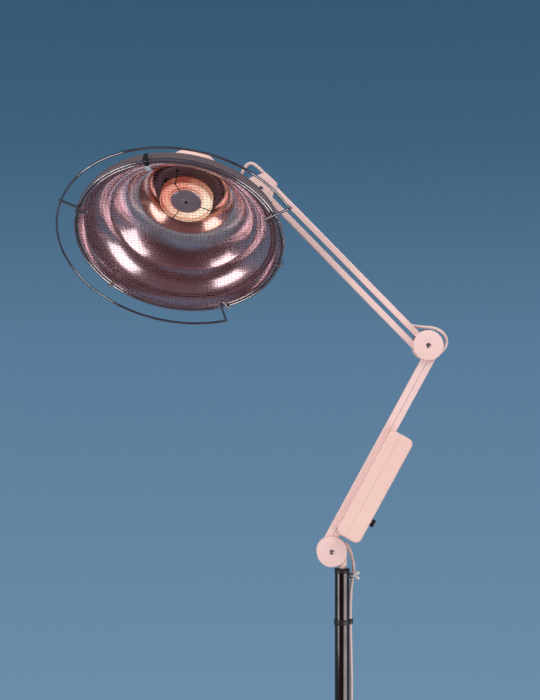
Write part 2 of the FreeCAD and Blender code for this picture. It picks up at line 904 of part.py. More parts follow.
box_shell = cut(box_skin, box_room, rail_slot, back_room, link_relief)
far = 300
inner_half = block((-far / 2, -far / 2, split_z + d.box_seam / 2), (far * 2, far, far))
outer_half = block((-far / 2, -far / 2, split_z - d.box_seam / 2 - far), (far * 2, far, far))
lower_box = doc.addObject("Part::Common", "inner_shell")
lower_box.Base = box_shell
lower_box.Tool = inner_half
finish(lower_box, "control_box_base", lower_frame(1))

box_middle_y = -rail_half - 9
indicator_x = box_end - d.indicator_margin
knob_hole = rod((d.knob_position, box_middle_y, box_outer_z - 5), "z", d.knob_shaft_radius + 0.6, 20)
indicator_hole = rod((indicator_x, box_middle_y, box_outer_z - 5), "z", d.indicator_radius, 20)
outer_shell = doc.addObject("Part::Common", "outer_shell")
outer_shell.Base = box_shell
outer_shell.Tool = outer_half
finish(cut(outer_shell, knob_hole, indicator_hole), "control_box_lid", lower_frame(1))

knob_face = box_outer_z - d.knob_gap
knob = fused(
    rod((d.knob_position, box_middle_y, knob_face - d.knob_height), "z", d.knob_radius, d.knob_height),
    rod((d.knob_position, box_middle_y, knob_face - 1), "z", d.knob_shaft_radius,
        d.knob_depth - d.box_wall + d.knob_gap - 1),
)
finish(knob, "control_knob", lower_frame(1))

timer_face = box_outer_z + d.box_wall + 0.05
timer = cut(
    block((d.knob_position - d.timer_length / 2, box_middle_y - d.timer_width / 2, timer_face),
          (d.timer_length, d.timer_width, d.timer_depth)),
    rod((d.knob_position, box_middle_y, timer_face - 1), "z", d.knob_shaft_radius + d.bore_clearance,
        d.knob_depth + 2),
)
finish(timer, "timer_switch", lower_frame(1))

indicator = fused(
    rod((indicator_x, box_middle_y, box_outer_z - d.indicator_height), "z", d.indicator_radius,
        d.indicator_height + d.box_wall + 8),
    rod((indicator_x, box_middle_y, box_outer_z + d.box_wall), "z", d.indicator_radius + 1.5, 3),
)
finish(indicator, "indicator_lamp", lower_frame(1))

# Head bracket: two plates over the upper arm's far pivots, with a block that carries the spindle

bracket_pivot_x = upper_pivots[0][0] - d.upper_arm_length * cosine(d.upper_arm_angle)
bracket_x = bracket_pivot_x - d.bracket_pivot_x
bracket_z = elbow_z + d.upper_arm_length * sine(d.upper_arm_angle)
bracket_pivots = hub_pivots(bracket_x, bracket_z, d.bracket_pivot_x, d.upper_pivot_height)
knuckle_x = bracket_x - d.knuckle_reach
spindle_z = bracket_z + d.knuckle_rise
block_top = spindle_z + d.block_height / 2
block_bottom = spindle_z - d.block_height / 2
block_right = bracket_x - d.block_start
block_left = block_right - d.block_length
left = block_left - bracket_x
bracket_outline = [
    (left, block_bottom - bracket_z - 2),
    (left, block_top - bracket_z - 0.5),
    (left + 6, block_top - bracket_z + 3),
    (3, 25),
    (9, 26),
    (27.5, 8),
    (24, 2),
    (19, -13),
    (20, -20),
    (8, -26),
    (-2, -24),
]
bracket_holes = [((d.bracket_pivot_x, side * d.upper_pivot_height), d.pivot_radius) for side in (1, -1)]
front_y = d.arm_pitch - rail_half - d.side_clearance - d.plate_thickness / 2
back_y = d.arm_pitch + rail_half + d.side_clearance + d.plate_thickness / 2
holes = bracket_holes + [screw_hole]
for label, y in (("bracket_front_plate", front_y), ("bracket_back_plate", back_y)):
    finish(plate(bracket_outline, d.plate_thickness, holes), label, frame((bracket_x, y, bracket_z)))
screw_face = front_y - d.plate_thickness / 2
pin_end = back_y + d.plate_thickness / 2
finish(pivot_pins(bracket_pivots, screw_face, pin_end), "bracket_pivot_pins")

block_front = front_y + d.plate_thickness / 2
block_back = back_y - d.plate_thickness / 2
bracket_block = cut(
    block(
        (block_left, block_front, block_bottom),
        (d.block_length, block_back - block_front, d.block_height),
    ),
    bore((block_left, d.arm_pitch, spindle_z), "x", d.spindle_radius + d.bore_clearance, d.block_length),
)
finish(bracket_block, "bracket_block")

bracket_bolt = fused(
    rod((bracket_x, screw_face - d.cover_screw_height, bracket_z), "y", d.cover_screw_radius,
        d.cover_screw_height),
    rod((bracket_x, screw_face, bracket_z), "y", d.cover_screw_shank, d.plate_thickness),
)
finish(bracket_bolt, "bracket_screw")

# Spindle: turns in the block, with a fork at its left end for the head's lug

knuckle = frame((knuckle_x, d.arm_pitch, spindle_z))
lean = frame(axis=(1, 0, 0), angle=d.head_tilt - 90)
fork_frame = knuckle.then(lean)
fork_inner = d.lug_thickness / 2 + d.side_clearance
fork_outer = fork_inner + d.fork_thickness
fork_reach = d.fork_radius + 2
ears = []
for start in (fork_inner, -fork_outer):
    ears.append(rod((0, start, 0), "y", d.fork_radius, d.fork_thickness))
    ears.append(block((0, start, -d.fork_radius), (fork_reach, d.fork_thickness, d.fork_radius * 2)))
fork_web = block(
    (fork_reach, -fork_outer, -d.fork_radius),
    (d.fork_thickness, fork_outer * 2, d.fork_radius * 2),
)
fork_pin_hole = bore((0, -fork_outer, 0), "y", d.knuckle_pin_radius, fork_outer * 2)
spindle_start = fork_reach + d.fork_thickness - WELD_DEPTH
spindle_end = block_right - knuckle_x + d.side_clearance
spindle_rod = rod((spindle_start, 0, 0), "x", d.spindle_radius, spindle_end - spindle_start)
spindle_nut = rod((spindle_end, 0, 0), "x", d.spindle_nut_radius, d.spindle_nut_height)
spindle = fused(cut(fused(*ears, fork_web), fork_pin_hole), spindle_rod, spindle_nut)
finish(spindle, "tilt_spindle", fork_frame)

# Head: everything is built about the dish's axis, z running back from the mouth

head = fork_frame.then(frame(axis=(0, 1, 0), angle=d.head_swing))
head = head.then(frame((-d.knuckle_offset, 0, -d.knuckle_depth)))
fork_pin = rod((0, -fork_outer, 0), "y", d.knuckle_pin_radius, fork_outer * 2)
finish(fork_pin, "knuckle_pin", fork_frame)


def ridge(radius, depth):
    """The two corners of a step in the spun dish: out to the flare, in to the zone behind."""
    return [(radius, depth), (radius - d.ridge_step, depth + d.ridge_land)]


def bulged(outer, inner, bulge):
    """Two points between a zone's ends, pushed out so that the zone is bowed."""
    points = []
    for share in (1 / 3, 2 / 3):
        points.append(tuple(far * (1 - share) + near * share + bulge for far, near in zip(outer, inner)))
    return points


mouth = (d.dish_radius - d.mouth_lip, 0)
cap = (d.cap_radius, d.cap_depth)
steps = [
    ridge(d.outer_ridge_radius, d.outer_ridge_depth),
    ridge(d.middle_ridge_radius, d.middle_ridge_depth),
    ridge(d.inner_ridge_radius, d.inner_ridge_depth),
]
inner_side = [mouth]
for step, bulge in zip(steps, (0.2, 0.9, 1.0)):
    inner_side += bulged(inner_side[-1], step[0], d.zone_bulge * bulge)
    inner_side += step
inner_side += bulged(inner_side[-1], cap, d.zone_bulge * 0.5)
inner_side += [cap, (d.cap_radius - 1.5, d.dish_depth), (d.centre_post_radius, d.dish_depth)]
outer_side = [(radius + d.dish_wall, depth + d.dish_wall) for radius, depth in inner_side[1:-1]]
outer_side.append((d.centre_post_radius, d.dish_depth + d.dish_wall))
dish_outline = inner_side + outer_side[::-1]
dish_outline += [
    (d.dish_radius, d.dish_wall),
    (d.skirt_radius - d.dish_wall, d.dish_wall + 2),
    (d.skirt_radius - d.dish_wall, d.skirt_depth),
    (d.skirt_radius, d.skirt_depth),
    (d.skirt_radius, d.dish_wall + 1),
    (d.dish_radius, 0),
]
finish(turned(dish_outline), "reflector", head)



def ring(radius, wire, depth):
    """A wire ring about the dish's axis."""
    torus = doc.addObject("Part::Torus", "ring")
    bind(torus, "Radius1", radius)
    bind(torus, "Radius2", wire)
    return seat(torus, frame((0, 0, depth)))


# The rim's own wire and, inside it, the ring that the mesh is welded to
grille_level = -d.grille_ring_radius - d.slot_clearance
finish(group(
    ring(d.dish_radius + 0.5, d.rim_wire_radius, -d.rim_wire_radius - d.slot_clearance),
    ring(d.grille_radius, d.grille_ring_radius, grille_level),
), "rim_ring", head)


def mesh_grille():
    """Two crossing layers of straight wires, cut to end on their ring."""
    wire = float(d.grille_wire_radius)
    pitch = float(d.grille_pitch)
    level = float(grille_level)
    reach = float(d.grille_radius - d.grille_ring_radius - d.slot_clearance)
    solids = []
    count = int(reach // pitch)
    for index in range(-count, count + 1):
        offset = index * pitch
        half = math.sqrt(reach ** 2 - (abs(offset) + wire) ** 2)
        for layer, (point, direction) in enumerate((((-half, offset), (1, 0)), ((offset, -half), (0, 1)))):
            height = level + (layer * 2 - 1) * (wire + 0.02)
            start = FreeCAD.Vector(point[0], point[1], height)
            solids.append(Part.makeCylinder(wire, 2 * half, start, FreeCAD.Vector(*direction, 0)))
    return Part.Compound(solids)


finish(plain(mesh_grille()), "mesh_grille", head)

# Bent clips that hold the mesh on the rim: an arm over both rings and a leg down the outside
clip_start = d.grille_radius - d.clip_reach
clip_outer = d.dish_radius + d.rim_wire_radius + 3.2
clip_front = -d.rim_wire_radius * 2 - 0.3 - d.clip_thickness
clips = []
for turn in (0, 120, 240):
    arm = block(
        (clip_start, -d.clip_width / 2, clip_front),
        (clip_outer + d.clip_thickness - clip_start, d.clip_width, d.clip_thickness),
    )
    leg = block(
        (clip_outer, -d.clip_width / 2, clip_front),
        (d.clip_thickness, d.clip_width, d.clip_leg),
    )
    clips.append(moved(fused(arm, leg), frame(axis=(0, 0, 1), angle=d.clip_angle + turn)))
finish(group(*clips), "mesh_clips", head)

housing_base = d.dish_depth + d.dish_wall
housing_end = housing_base + d.housing_depth
edge = d.housing_edge
skin = d.housing_wall
housing_shell = turned([
    (d.housing_radius - skin, housing_base),
    (d.housing_radius, housing_base),
    (d.housing_radius, housing_end - edge),
    (d.housing_radius - edge * 0.3, housing_end - edge * 0.3),
    (d.housing_radius - edge, housing_end),
    (0, housing_end),
    (0, housing_end - skin),
    (d.housing_radius - edge - skin * 0.4, housing_end - skin),
    (d.housing_radius - skin, housing_end - edge),
])
lug_root = d.housing_radius - skin / 2
lug = fused(
    block((lug_root, -d.lug_thickness / 2, d.knuckle_depth - d.lug_radius),
          (d.knuckle_offset - lug_root, d.lug_thickness, d.lug_radius * 2)),
    rod((d.knuckle_offset, -d.lug_thickness / 2, d.knuckle_depth), "y", d.lug_radius, d.lug_thickness),
)
lug_hole = bore((d.knuckle_offset, -d.lug_thickness / 2, d.knuckle_depth), "y",
                d.knuckle_pin_radius + d.bore_clearance, d.lug_thickness)
lead_depth = d.knuckle_depth + d.lug_radius + d.lead_spacing
lead_boss_end = d.housing_radius + d.lead_boss_height
lead_boss = rod((lug_root, 0, lead_depth), "x", d.cord_radius + 1.6, lead_boss_end - lug_root)
lead_hole = bore((d.housing_radius + CUT_MARGIN, 0, lead_depth), "x", d.cord_radius + d.slot_clearance * 2,
                 d.lead_boss_height)
finish(cut(fused(housing_shell, lug, lead_boss), lug_hole, lead_hole), "back_housing", head)

# Heater: a ceramic trough with a coil of resistance wire, on wire supports, and its centre disc

heater_back = d.heater_front + d.heater_thickness
trough = d.heater_wall
heater_ring = turned([
    (d.heater_inner, d.heater_front + 2),
    (d.heater_inner + trough, d.heater_front + 2),
    (d.heater_inner + trough, heater_back - trough),
    (d.heater_outer - trough, heater_back - trough),
    (d.heater_outer - trough, d.heater_front),
    (d.heater_outer, d.heater_front),
    (d.heater_outer, heater_back),
    (d.heater_inner, heater_back),
])
finish(heater_ring, "heater_ring", head)

coil_depth = heater_back - trough - d.heater_coil_radius - d.slot_clearance
finish(ring((d.heater_outer + d.heater_inner) / 2, d.heater_coil_radius, coil_depth), "heater_coil", head)

supports = []
for angle in (-111, 20, 122):
    post = rod((d.heater_outer + 1.3, 0, d.heater_front - 1.3), "z", d.support_radius,
               d.dish_depth - d.heater_front + 1.3)
    arm = rod((d.heater_inner - 1.5, 0, d.heater_front - 1.3), "x", d.support_radius,
              d.heater_outer - d.heater_inner + 2.8)
    supports.append(moved(fused(post, arm), frame(axis=(0, 0, 1), angle=angle)))
finish(group(*supports), "heater_supports", head)

terminals = []
for angle in (-152, -176):
    bush = rod((d.heater_outer - 2, 0, heater_back + 0.05), "z", d.terminal_radius,
               d.dish_depth - heater_back - 0.05)
    terminals.append(moved(bush, frame(axis=(0, 0, 1), angle=angle)))
finish(group(*terminals), "heater_terminals", head)

centre_disc = turned([
    (0, d.centre_disc_depth),
    (d.centre_disc_radius - 1, d.centre_disc_depth + 1),
    (d.centre_disc_radius, d.centre_disc_depth + 2),
    (d.centre_disc_radius, d.centre_disc_depth + 3),
    (d.centre_post_radius, d.centre_disc_depth + 3),
    (d.centre_post_radius, housing_base + 4),
    (0, housing_base + 4),
])
finish(centre_disc, "centre_disc", head)

# Guard wire: one long arc round the mouth, its ends and one post bent in to hook on the rim

def guard():
    radius = float(d.guard_radius)
    wire = float(d.guard_wire_radius)
    level = -2 * float(d.rim_wire_radius) - 0.2 - wire
    first, last = float(d.guard_start), float(d.guard_end)

    def polar(reach, angle, side=0.0):
        spread = math.radians(angle)
        along = FreeCAD.Vector(math.cos(spread), math.sin(spread), 0)
        across = FreeCAD.Vector(-math.sin(spread), math.cos(spread), 0)
        return along * reach + across * side + FreeCAD.Vector(0, 0, level)

    axis = FreeCAD.Vector(0, 0, 1)
    arc = Part.makeTorus(radius, wire, axis * level, axis, 0, 360, last - first)
    arc.rotate(FreeCAD.Vector(0, 0, 0), axis, first)
    solids = [arc]
    hook = float(d.guard_hook)
    inner = float(d.guard_inner)
    for angle, side in ((first, -1), (float(d.guard_post), -1), (last, 1)):
        corner = polar(radius, angle)
        turn = polar(inner, angle)
        back = polar(inner, angle, side * hook)
        end = polar(inner + float(d.guard_return), angle, side * hook)
        for start, stop in ((corner, turn), (turn, back), (back, end)):
            run = stop - start
            solids.append(Part.makeCylinder(wire, run.Length, start, run))
        solids += [Part.makeSphere(wire, place) for place in (corner, turn, back)]
    return solids[0].fuse(solids[1:])


finish(plain(guard()), "guard_wire", head)

# Leads and mains cord

gland_y = cheek_outer + 1.7
gland_frame = frame((d.yoke_hub_x + 22, gland_y, hub_height + 12.7), (0, 1, 0), 145)
gland_bits = cut(
    rod((0, 0, 0), "z", d.cord_radius + d.gland_wall, d.gland_length),
    bore((0, 0, 0), "z", d.cord_radius, d.gland_length),
)
gland = cut(
    moved(gland_bits, gland_frame),
    rod((d.yoke_hub_x, 0, hub_height), "y", d.hub_radius, d.hub_radius),
)
finish(gland, "cord_gland")

swivel_span = [
    gland_frame.point((0, 0, d.gland_length)),
    gland_frame.point((0, 0, d.gland_length + 6)),
    (16.8, 10.6, 967.6),
    (19.6, 10.6, 955.6),
    (19.8, 10.4, 943.6),
    (17.6, 9.8, 931.4),
    (15.6, 9.0, 919.0),
    (14.9, 8.5, 908.0),
]
clip_place = (13.9, 7.4)
mains_route = [
    (14.9, 8.5, 907.9),
    (13.6, 7.6, 887.0),
    (*clip_place, d.clip_high),
    (14.9, 8.2, 812.0),
    (16.2, 8.5, 756.0),
    (15.2, 8.9, 698.0),
    (*clip_place, d.clip_middle),
    (15.0, 7.9, 584.0),
    (16.4, 9.2, 528.0),
    (15.4, 8.2, 471.0),
    (*clip_place, d.clip_low),
    (15.2, 8.8, 358.0),
    (16.5, 9.2, 302.0),
    (16.4, 10.6, 248.0),
    (18.0, 14.2, 198.0),
    (22.4, 22.0, 152.0),
    (31.0, 36.0, 110.0),
    (43.0, 60.0, 78.0),
    (57.0, 94.0, 58.0),
    (70.0, 132.0, 48.0),
    (80.0, 170.0, 41.0),
    (82.0, 205.0, 24.0),
    (76.0, 234.0, 8.0),
    (62.0, 258.0, 2.9),
    (44.0, 272.0, 2.9),
    (26.0, 279.4, 3.0),
    (9.6, 282.6, 3.4),
]
finish(plain(cord_tube("cord_swivel_span", swivel_span, d.cord_radius)), "cord_swivel_span")
finish(plain(cord_tube("mains_cord", mains_route, d.cord_radius)), "mains_cord")

elbow_point = frame((elbow_x, 0, elbow_z))
elbow_loop = [elbow_point.point(place) for place in (
    (-38.0, 24.2, 34.0),
    (-23.0, 24.4, 33.0),
    (-7.0, 20.4, 30.2),
    (10.0, 15.6, 29.8),
    (24.0, 11.6, 23.6),
    (32.0, 7.6, 12.2),
    (31.2, 4.2, -1.4),
    (24.4, 1.4, -12.4),
    (16.6, 0.0, -22.6),
    (11.6, 0.0, -31.8),
)]
finish(plain(cord_tube("elbow_cable", elbow_loop, d.cord_radius)), "elbow_cable")

head_point = frame((bracket_x, d.arm_pitch, bracket_z))
head_loop = [head_point.point(place) for place in (
    (8.0, 0.0, 23.6),
    (0.2, 0.2, 31.2),
    (-7.2, 0.4, 38.4),
    (-14.8, 0.6, 43.2),
    (-22.4, 1.2, 41.6),
    (-27.6, 2.4, 34.6),
    (-31.6, 4.6, 26.0),
    (-38.0, 7.4, 19.8),
    (-48.1, 9.6, 17.2),
)]
finish(plain(cord_tube("head_cable_upper", head_loop, d.cord_radius)), "head_cable_upper")
lead_start = head_loop[-1]
lead_ahead = (lead_start - head_loop[-2]).normalize()
head_run = [lead_start, lead_start + lead_ahead * 6] + [head.point(place) for place in (
    (lead_boss_end + 6.5, 0.0, lead_depth),
    (lead_boss_end + 0.2, 0.0, lead_depth),
)]
finish(plain(cord_tube("head_cable_lower", head_run, d.cord_radius)), "head_cable_lower")

clips = []
clip_bore = d.cord_radius + 0.7
for height in (d.clip_high, d.clip_middle, d.clip_low):
    bottom = height - d.clip_height / 2
    band = rod((0, 0, bottom), "z", d.column_radius + d.clip_wall, d.clip_height)
    loop = rod((*clip_place, bottom), "z", clip_bore + d.clip_wall, d.clip_height)
    clips.append(cut(
        fused(band, loop),
        bore((0, 0, bottom), "z", d.column_radius, d.clip_height),
        bore((*clip_place, bottom), "z", clip_bore, d.clip_height),
    ))
finish(group(*clips), "cord_clips")

coil_centre = (0.0, 318.0)
coil_outer = d.coil_radius + d.coil_band / 2
lying = 0.3
coil_ring = cut(
    rod((*coil_centre, lying), "z", coil_outer, d.coil_band),
    bore((*coil_centre, lying), "z", d.coil_radius - d.coil_band / 2, d.coil_band),
)
finish(coil_ring, "cord_coil")

plug_body = block(
    (coil_centre[0] - coil_outer - d.plug_width, coil_centre[1] - d.plug_length / 2, lying),
    (d.plug_width, d.plug_length, d.plug_height),
)
finish(plug_body, "mains_plug")

# Checks, then one STEP file for each sub-part

doc.recompute()
broken = [thing.Label for thing in doc.Objects if {"Invalid", "Error"} & set(thing.State)]
for thing in subparts:
    if thing.Shape.isNull() or not thing.Shape.isValid():
        broken.append(thing.Label)
if broken:
    raise RuntimeError("failed: " + ", ".join(broken))
os.makedirs("parts", exist_ok=True)
for thing in subparts:
    thing.Shape.exportStep(os.path.join("parts", f"{thing.Label}.step"))
print(len(subparts), "sub-parts written")
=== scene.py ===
# %% [markdown]
# # An infrared heat therapy lamp
# The lamp stands on a weighted foot. A black tube carries two pale arms, each a pair of rails that
# stay parallel, and a wide spun dish with a glowing ring hangs at their end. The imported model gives
# every piece its place. This lesson dresses it: it keeps the solids whose shape is right, builds the
# finer pieces as meshes, and gives each one a finish worked out with shader nodes.

# %% Load the frame
import json
import math

import bmesh
import bpy
from mathutils import Matrix, Vector


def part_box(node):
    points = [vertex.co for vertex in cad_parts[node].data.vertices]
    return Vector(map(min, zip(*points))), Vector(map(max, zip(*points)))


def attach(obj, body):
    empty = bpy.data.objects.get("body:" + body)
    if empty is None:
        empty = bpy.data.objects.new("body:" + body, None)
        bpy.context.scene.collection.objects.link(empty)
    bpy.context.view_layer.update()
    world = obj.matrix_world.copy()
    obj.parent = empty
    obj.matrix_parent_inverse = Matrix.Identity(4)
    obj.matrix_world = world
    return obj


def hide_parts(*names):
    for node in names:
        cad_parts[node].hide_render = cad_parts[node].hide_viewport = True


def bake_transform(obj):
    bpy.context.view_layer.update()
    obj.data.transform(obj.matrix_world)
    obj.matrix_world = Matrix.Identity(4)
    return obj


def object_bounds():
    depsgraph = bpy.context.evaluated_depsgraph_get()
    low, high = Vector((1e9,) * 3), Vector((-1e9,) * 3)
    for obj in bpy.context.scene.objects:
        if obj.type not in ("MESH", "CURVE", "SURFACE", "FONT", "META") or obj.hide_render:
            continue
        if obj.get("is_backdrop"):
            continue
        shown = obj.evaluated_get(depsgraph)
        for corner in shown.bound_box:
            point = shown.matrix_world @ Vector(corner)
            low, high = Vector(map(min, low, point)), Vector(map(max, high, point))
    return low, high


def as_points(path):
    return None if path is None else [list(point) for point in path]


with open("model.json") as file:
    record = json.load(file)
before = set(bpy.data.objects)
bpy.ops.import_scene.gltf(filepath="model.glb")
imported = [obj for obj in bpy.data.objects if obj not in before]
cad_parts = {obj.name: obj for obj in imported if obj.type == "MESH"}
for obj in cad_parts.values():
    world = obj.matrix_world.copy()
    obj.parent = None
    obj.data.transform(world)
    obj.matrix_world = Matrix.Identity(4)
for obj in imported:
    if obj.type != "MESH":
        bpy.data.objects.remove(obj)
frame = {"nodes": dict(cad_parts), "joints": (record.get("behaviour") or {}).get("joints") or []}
nodes = frame["nodes"]
cad_low, cad_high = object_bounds()
MM = 0.001
print("height of the lamp in metres:", round(cad_high.z, 3))

# %% [markdown]
# ## Camera
# The lamp is seen from the front, level, from a little over two and a half metres. A focal length is
# easiest to match in pixels: the lens in millimetres follows from it, from the height of the picture
# and from the size of the sensor along that side.

# %% Camera
PICTURE_HEIGHT = 700
FOCAL_LENGTH_IN_PIXELS = 1575.76
CAMERA_PLACE = (-0.11897, -2.6, 1.3105)

camera_data = bpy.data.cameras.new("camera")
camera_data.sensor_width = 36
camera_data.lens = FOCAL_LENGTH_IN_PIXELS / PICTURE_HEIGHT * camera_data.sensor_width
camera = bpy.data.objects.new("camera", camera_data)
camera.location = CAMERA_PLACE
camera.rotation_euler = (math.radians(90), 0, 0)
bpy.context.scene.collection.objects.link(camera)
bpy.context.scene.camera = camera
print("lens in millimetres:", round(camera_data.lens, 2))

# %% [markdown]
# ## Cords
# A cord is a fixed length of something flexible, so it comes first. It could be drawn with handles,
# but a NURBS spline through a few given points already bends like a cable: it cuts inside each
# corner and never kinks. The degree is set after the points are added, because a spline with too few
# points falls back to straight runs.

# %% A spline through chosen points
def new_spline(name, places):
    curve = bpy.data.curves.new(name, "CURVE")
    curve.dimensions = "3D"
    spline = curve.splines.new("NURBS")
    spline.points.add(len(places) - 1)
    for point, place in zip(spline.points, places):
        point.co = (*place, 1.0)
    spline.order_u = 3
    spline.use_endpoint_u = True
    spline.resolution_u = 8
    line = bpy.data.objects.new(name, curve)
    bpy.context.scene.collection.objects.link(line)
    return line


def points_along(places):
    """The smooth line of a route, read from its spline as a list of points."""
    line = new_spline("route", places)
    bpy.context.view_layer.update()
    mesh = bpy.data.meshes.new_from_object(line)
    path = [vertex.co.copy() for vertex in mesh.vertices]
    curve = line.data
    bpy.data.objects.remove(line)
    bpy.data.curves.remove(curve)
    bpy.data.meshes.remove(mesh)
    return path


def length_of(path):
    return sum((after - before).length for before, after in zip(path, path[1:]))


CORD_RADIUS = 2.6 * MM
CORD_DIAMETER = 2 * CORD_RADIUS

# %% [markdown]
# ### The mains cord's route
# The cord leaves a gland behind the yoke and hangs to the column. Three clips hold it down the
# column, then it leans out over the foot and lies on the floor. What is left of its length is wound
# into a neat coil. The points on the column are uneven on purpose, because a clipped cord always
# wanders a little between its clips.

# %% Routes of the mains cord
SWIVEL_ROUTE = [
    (0.010823, 0.0106, 0.982599),
    (0.014264, 0.0106, 0.977684),
    (0.0168, 0.0106, 0.9676),
    (0.0196, 0.0106, 0.9556),
    (0.0198, 0.0104, 0.9436),
    (0.0176, 0.0098, 0.9314),
    (0.0156, 0.0090, 0.9190),
    (0.0149, 0.0085, 0.9080),
]
COLUMN_ROUTE = [
    (0.0149, 0.0085, 0.9079),
    (0.0136, 0.0076, 0.8870),
    (0.0139, 0.0074, 0.8620),
    (0.0149, 0.0082, 0.8120),
    (0.0162, 0.0085, 0.7560),
    (0.0152, 0.0089, 0.6980),
    (0.0139, 0.0074, 0.6400),
    (0.0150, 0.0079, 0.5840),
    (0.0164, 0.0092, 0.5280),
    (0.0154, 0.0082, 0.4710),
    (0.0139, 0.0074, 0.4140),
    (0.0152, 0.0088, 0.3580),
    (0.0165, 0.0092, 0.3020),
    (0.0164, 0.0106, 0.2480),
    (0.0180, 0.0142, 0.1980),
    (0.0224, 0.0220, 0.1520),
    (0.0310, 0.0360, 0.1100),
    (0.0430, 0.0600, 0.0780),
    (0.0570, 0.0940, 0.0580),
    (0.0700, 0.1320, 0.0480),
    (0.0800, 0.1700, 0.0410),
    (0.0820, 0.2050, 0.0240),
    (0.0760, 0.2340, 0.0080),
    (0.0620, 0.2580, 0.0029),
    (0.0440, 0.2720, 0.0029),
    (0.0260, 0.2794, 0.0030),
]
print("points down to the coil:", len(SWIVEL_ROUTE) + len(COLUMN_ROUTE))

# %% [markdown]
# ### The coil
# The turns could be separate rings, but then the cord would end at each one. Here they are more
# points of the same spline: the turns wind inwards on the floor, climb by one diameter, wind outwards
# on top of the first layer, and inwards again above that.

# %% Turns of the coil
COIL_CENTRE = Vector((0.0, 0.318, 0.0))
COIL_OUTER_RADIUS = 35.2 * MM
COIL_INNER_RADIUS = 24.8 * MM
COIL_FLOOR = 2.95 * MM
COIL_START_DEGREES = -76
TURNS_PER_LAYER = 2
LAYERS = 3
POINTS_PER_TURN = 14
POINTS_PER_CLIMB = 5
COIL_STEP = 2 * math.pi / POINTS_PER_TURN


def on_coil(radius, turn, height):
    return COIL_CENTRE + Vector((radius * math.cos(turn), radius * math.sin(turn), height))


def coil_points():
    """Points of the turns, from where the cord arrives to where it leaves, and the last angle."""
    places = []
    turn = math.radians(COIL_START_DEGREES)
    inward = True
    for layer in range(LAYERS):
        height = COIL_FLOOR + layer * CORD_DIAMETER
        count = TURNS_PER_LAYER * POINTS_PER_TURN
        for index in range(count + 1):
            share = index / count
            if not inward:
                share = 1 - share
            radius = COIL_OUTER_RADIUS + (COIL_INNER_RADIUS - COIL_OUTER_RADIUS) * share
            places.append(on_coil(radius, turn, height))
            turn -= COIL_STEP
        if layer < LAYERS - 1:
            edge = COIL_INNER_RADIUS if inward else COIL_OUTER_RADIUS
            for index in range(1, POINTS_PER_CLIMB):
                rise = CORD_DIAMETER * index / POINTS_PER_CLIMB
                places.append(on_coil(edge, turn, height + rise))
                turn -= COIL_STEP
        inward = not inward
    return places, turn


coil_route, leaving_angle = coil_points()
print("points in the coil:", len(coil_route))
print("it leaves the coil at degrees:", round(math.degrees(leaving_angle) % 360))

# %% [markdown]
# ### The cord's end
# From the last inner turn the cord rises by one more diameter and crosses over the coil in a low hump
# to the plug beside it. These points are listed one by one, and they keep every bend wider than four
# times the cord's thickness. A tighter bend would look like a kink, which a cable like this never takes
# by itself.

# %% Route from the coil to the plug
FINAL_RISES = (0.34, 0.68, 1.02)


def final_climb(turn):
    """The last points on the inner turn, which rise by a diameter before the cord crosses over."""
    places = []
    top = COIL_FLOOR + (LAYERS - 1) * CORD_DIAMETER
    for rise in FINAL_RISES:
        places.append(on_coil(COIL_INNER_RADIUS, turn, top + rise * CORD_DIAMETER))
        turn -= COIL_STEP
    return places


PLUG_BACK = Vector((-0.0548, 0.2990, 0.0113))
CROSSING_ROUTE = [
    (0.0055, 0.2905, 0.0189),
    (-0.0048, 0.2838, 0.0190),
    (-0.0139, 0.2733, 0.0182),
    (-0.0261, 0.2672, 0.0152),
    (-0.0387, 0.2684, 0.0126),
    (-0.0488, 0.2754, 0.0115),
    (-0.0547, 0.2874, 0.0113),
    tuple(PLUG_BACK),
]
MAINS_ROUTE = COLUMN_ROUTE + coil_route + final_climb(leaving_angle) + CROSSING_ROUTE
mains_path = points_along(MAINS_ROUTE)
mains_length = length_of(mains_path)
print("mains cord below the swivel, in metres:", round(mains_length, 3))

# %% [markdown]
# ## Building meshes
# Most pieces on a lamp like this are turned, drawn as wire, stamped from sheet or moulded. So four
# small helpers are enough: one spins an outline round an axis, one draws a tube along a path, one
# thickens a flat outline, and one makes a rounded block. Each adds to a bmesh, and `finished` turns
# that bmesh into one piece on its body.

# %% Helper: put a finished piece on its body
def finished(mesh_builder, name, body, material, place=Matrix(), stands_for=(), crease=35):
    mesh = bpy.data.meshes.new(name)
    bmesh.ops.remove_doubles(mesh_builder, verts=mesh_builder.verts, dist=1e-7)
    bmesh.ops.recalc_face_normals(mesh_builder, faces=mesh_builder.faces)
    mesh_builder.to_mesh(mesh)
    mesh_builder.free()
    mesh.transform(place.to_3x3().to_4x4())
    mesh.shade_smooth()
    mesh.set_sharp_from_angle(angle=math.radians(crease))
    materials = material if isinstance(material, (list, tuple)) else [material]
    for one in materials:
        mesh.materials.append(one)
    piece = bpy.data.objects.new(name, mesh)
    piece.location = place.translation
    bpy.context.scene.collection.objects.link(piece)
    if body:
        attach(piece, body)
    if stands_for:
        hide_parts(*stands_for)
    print(name, "has", len(mesh.polygons), "faces")
    return piece


# %% [markdown]
# Wire, cord and bars are all one circle carried along a line. Blender's curves could draw them, but a
# mesh made ring by ring keeps full control of where the circle sits. The circle must not spin on the
# way, so each ring takes its sideways direction from the ring before it.

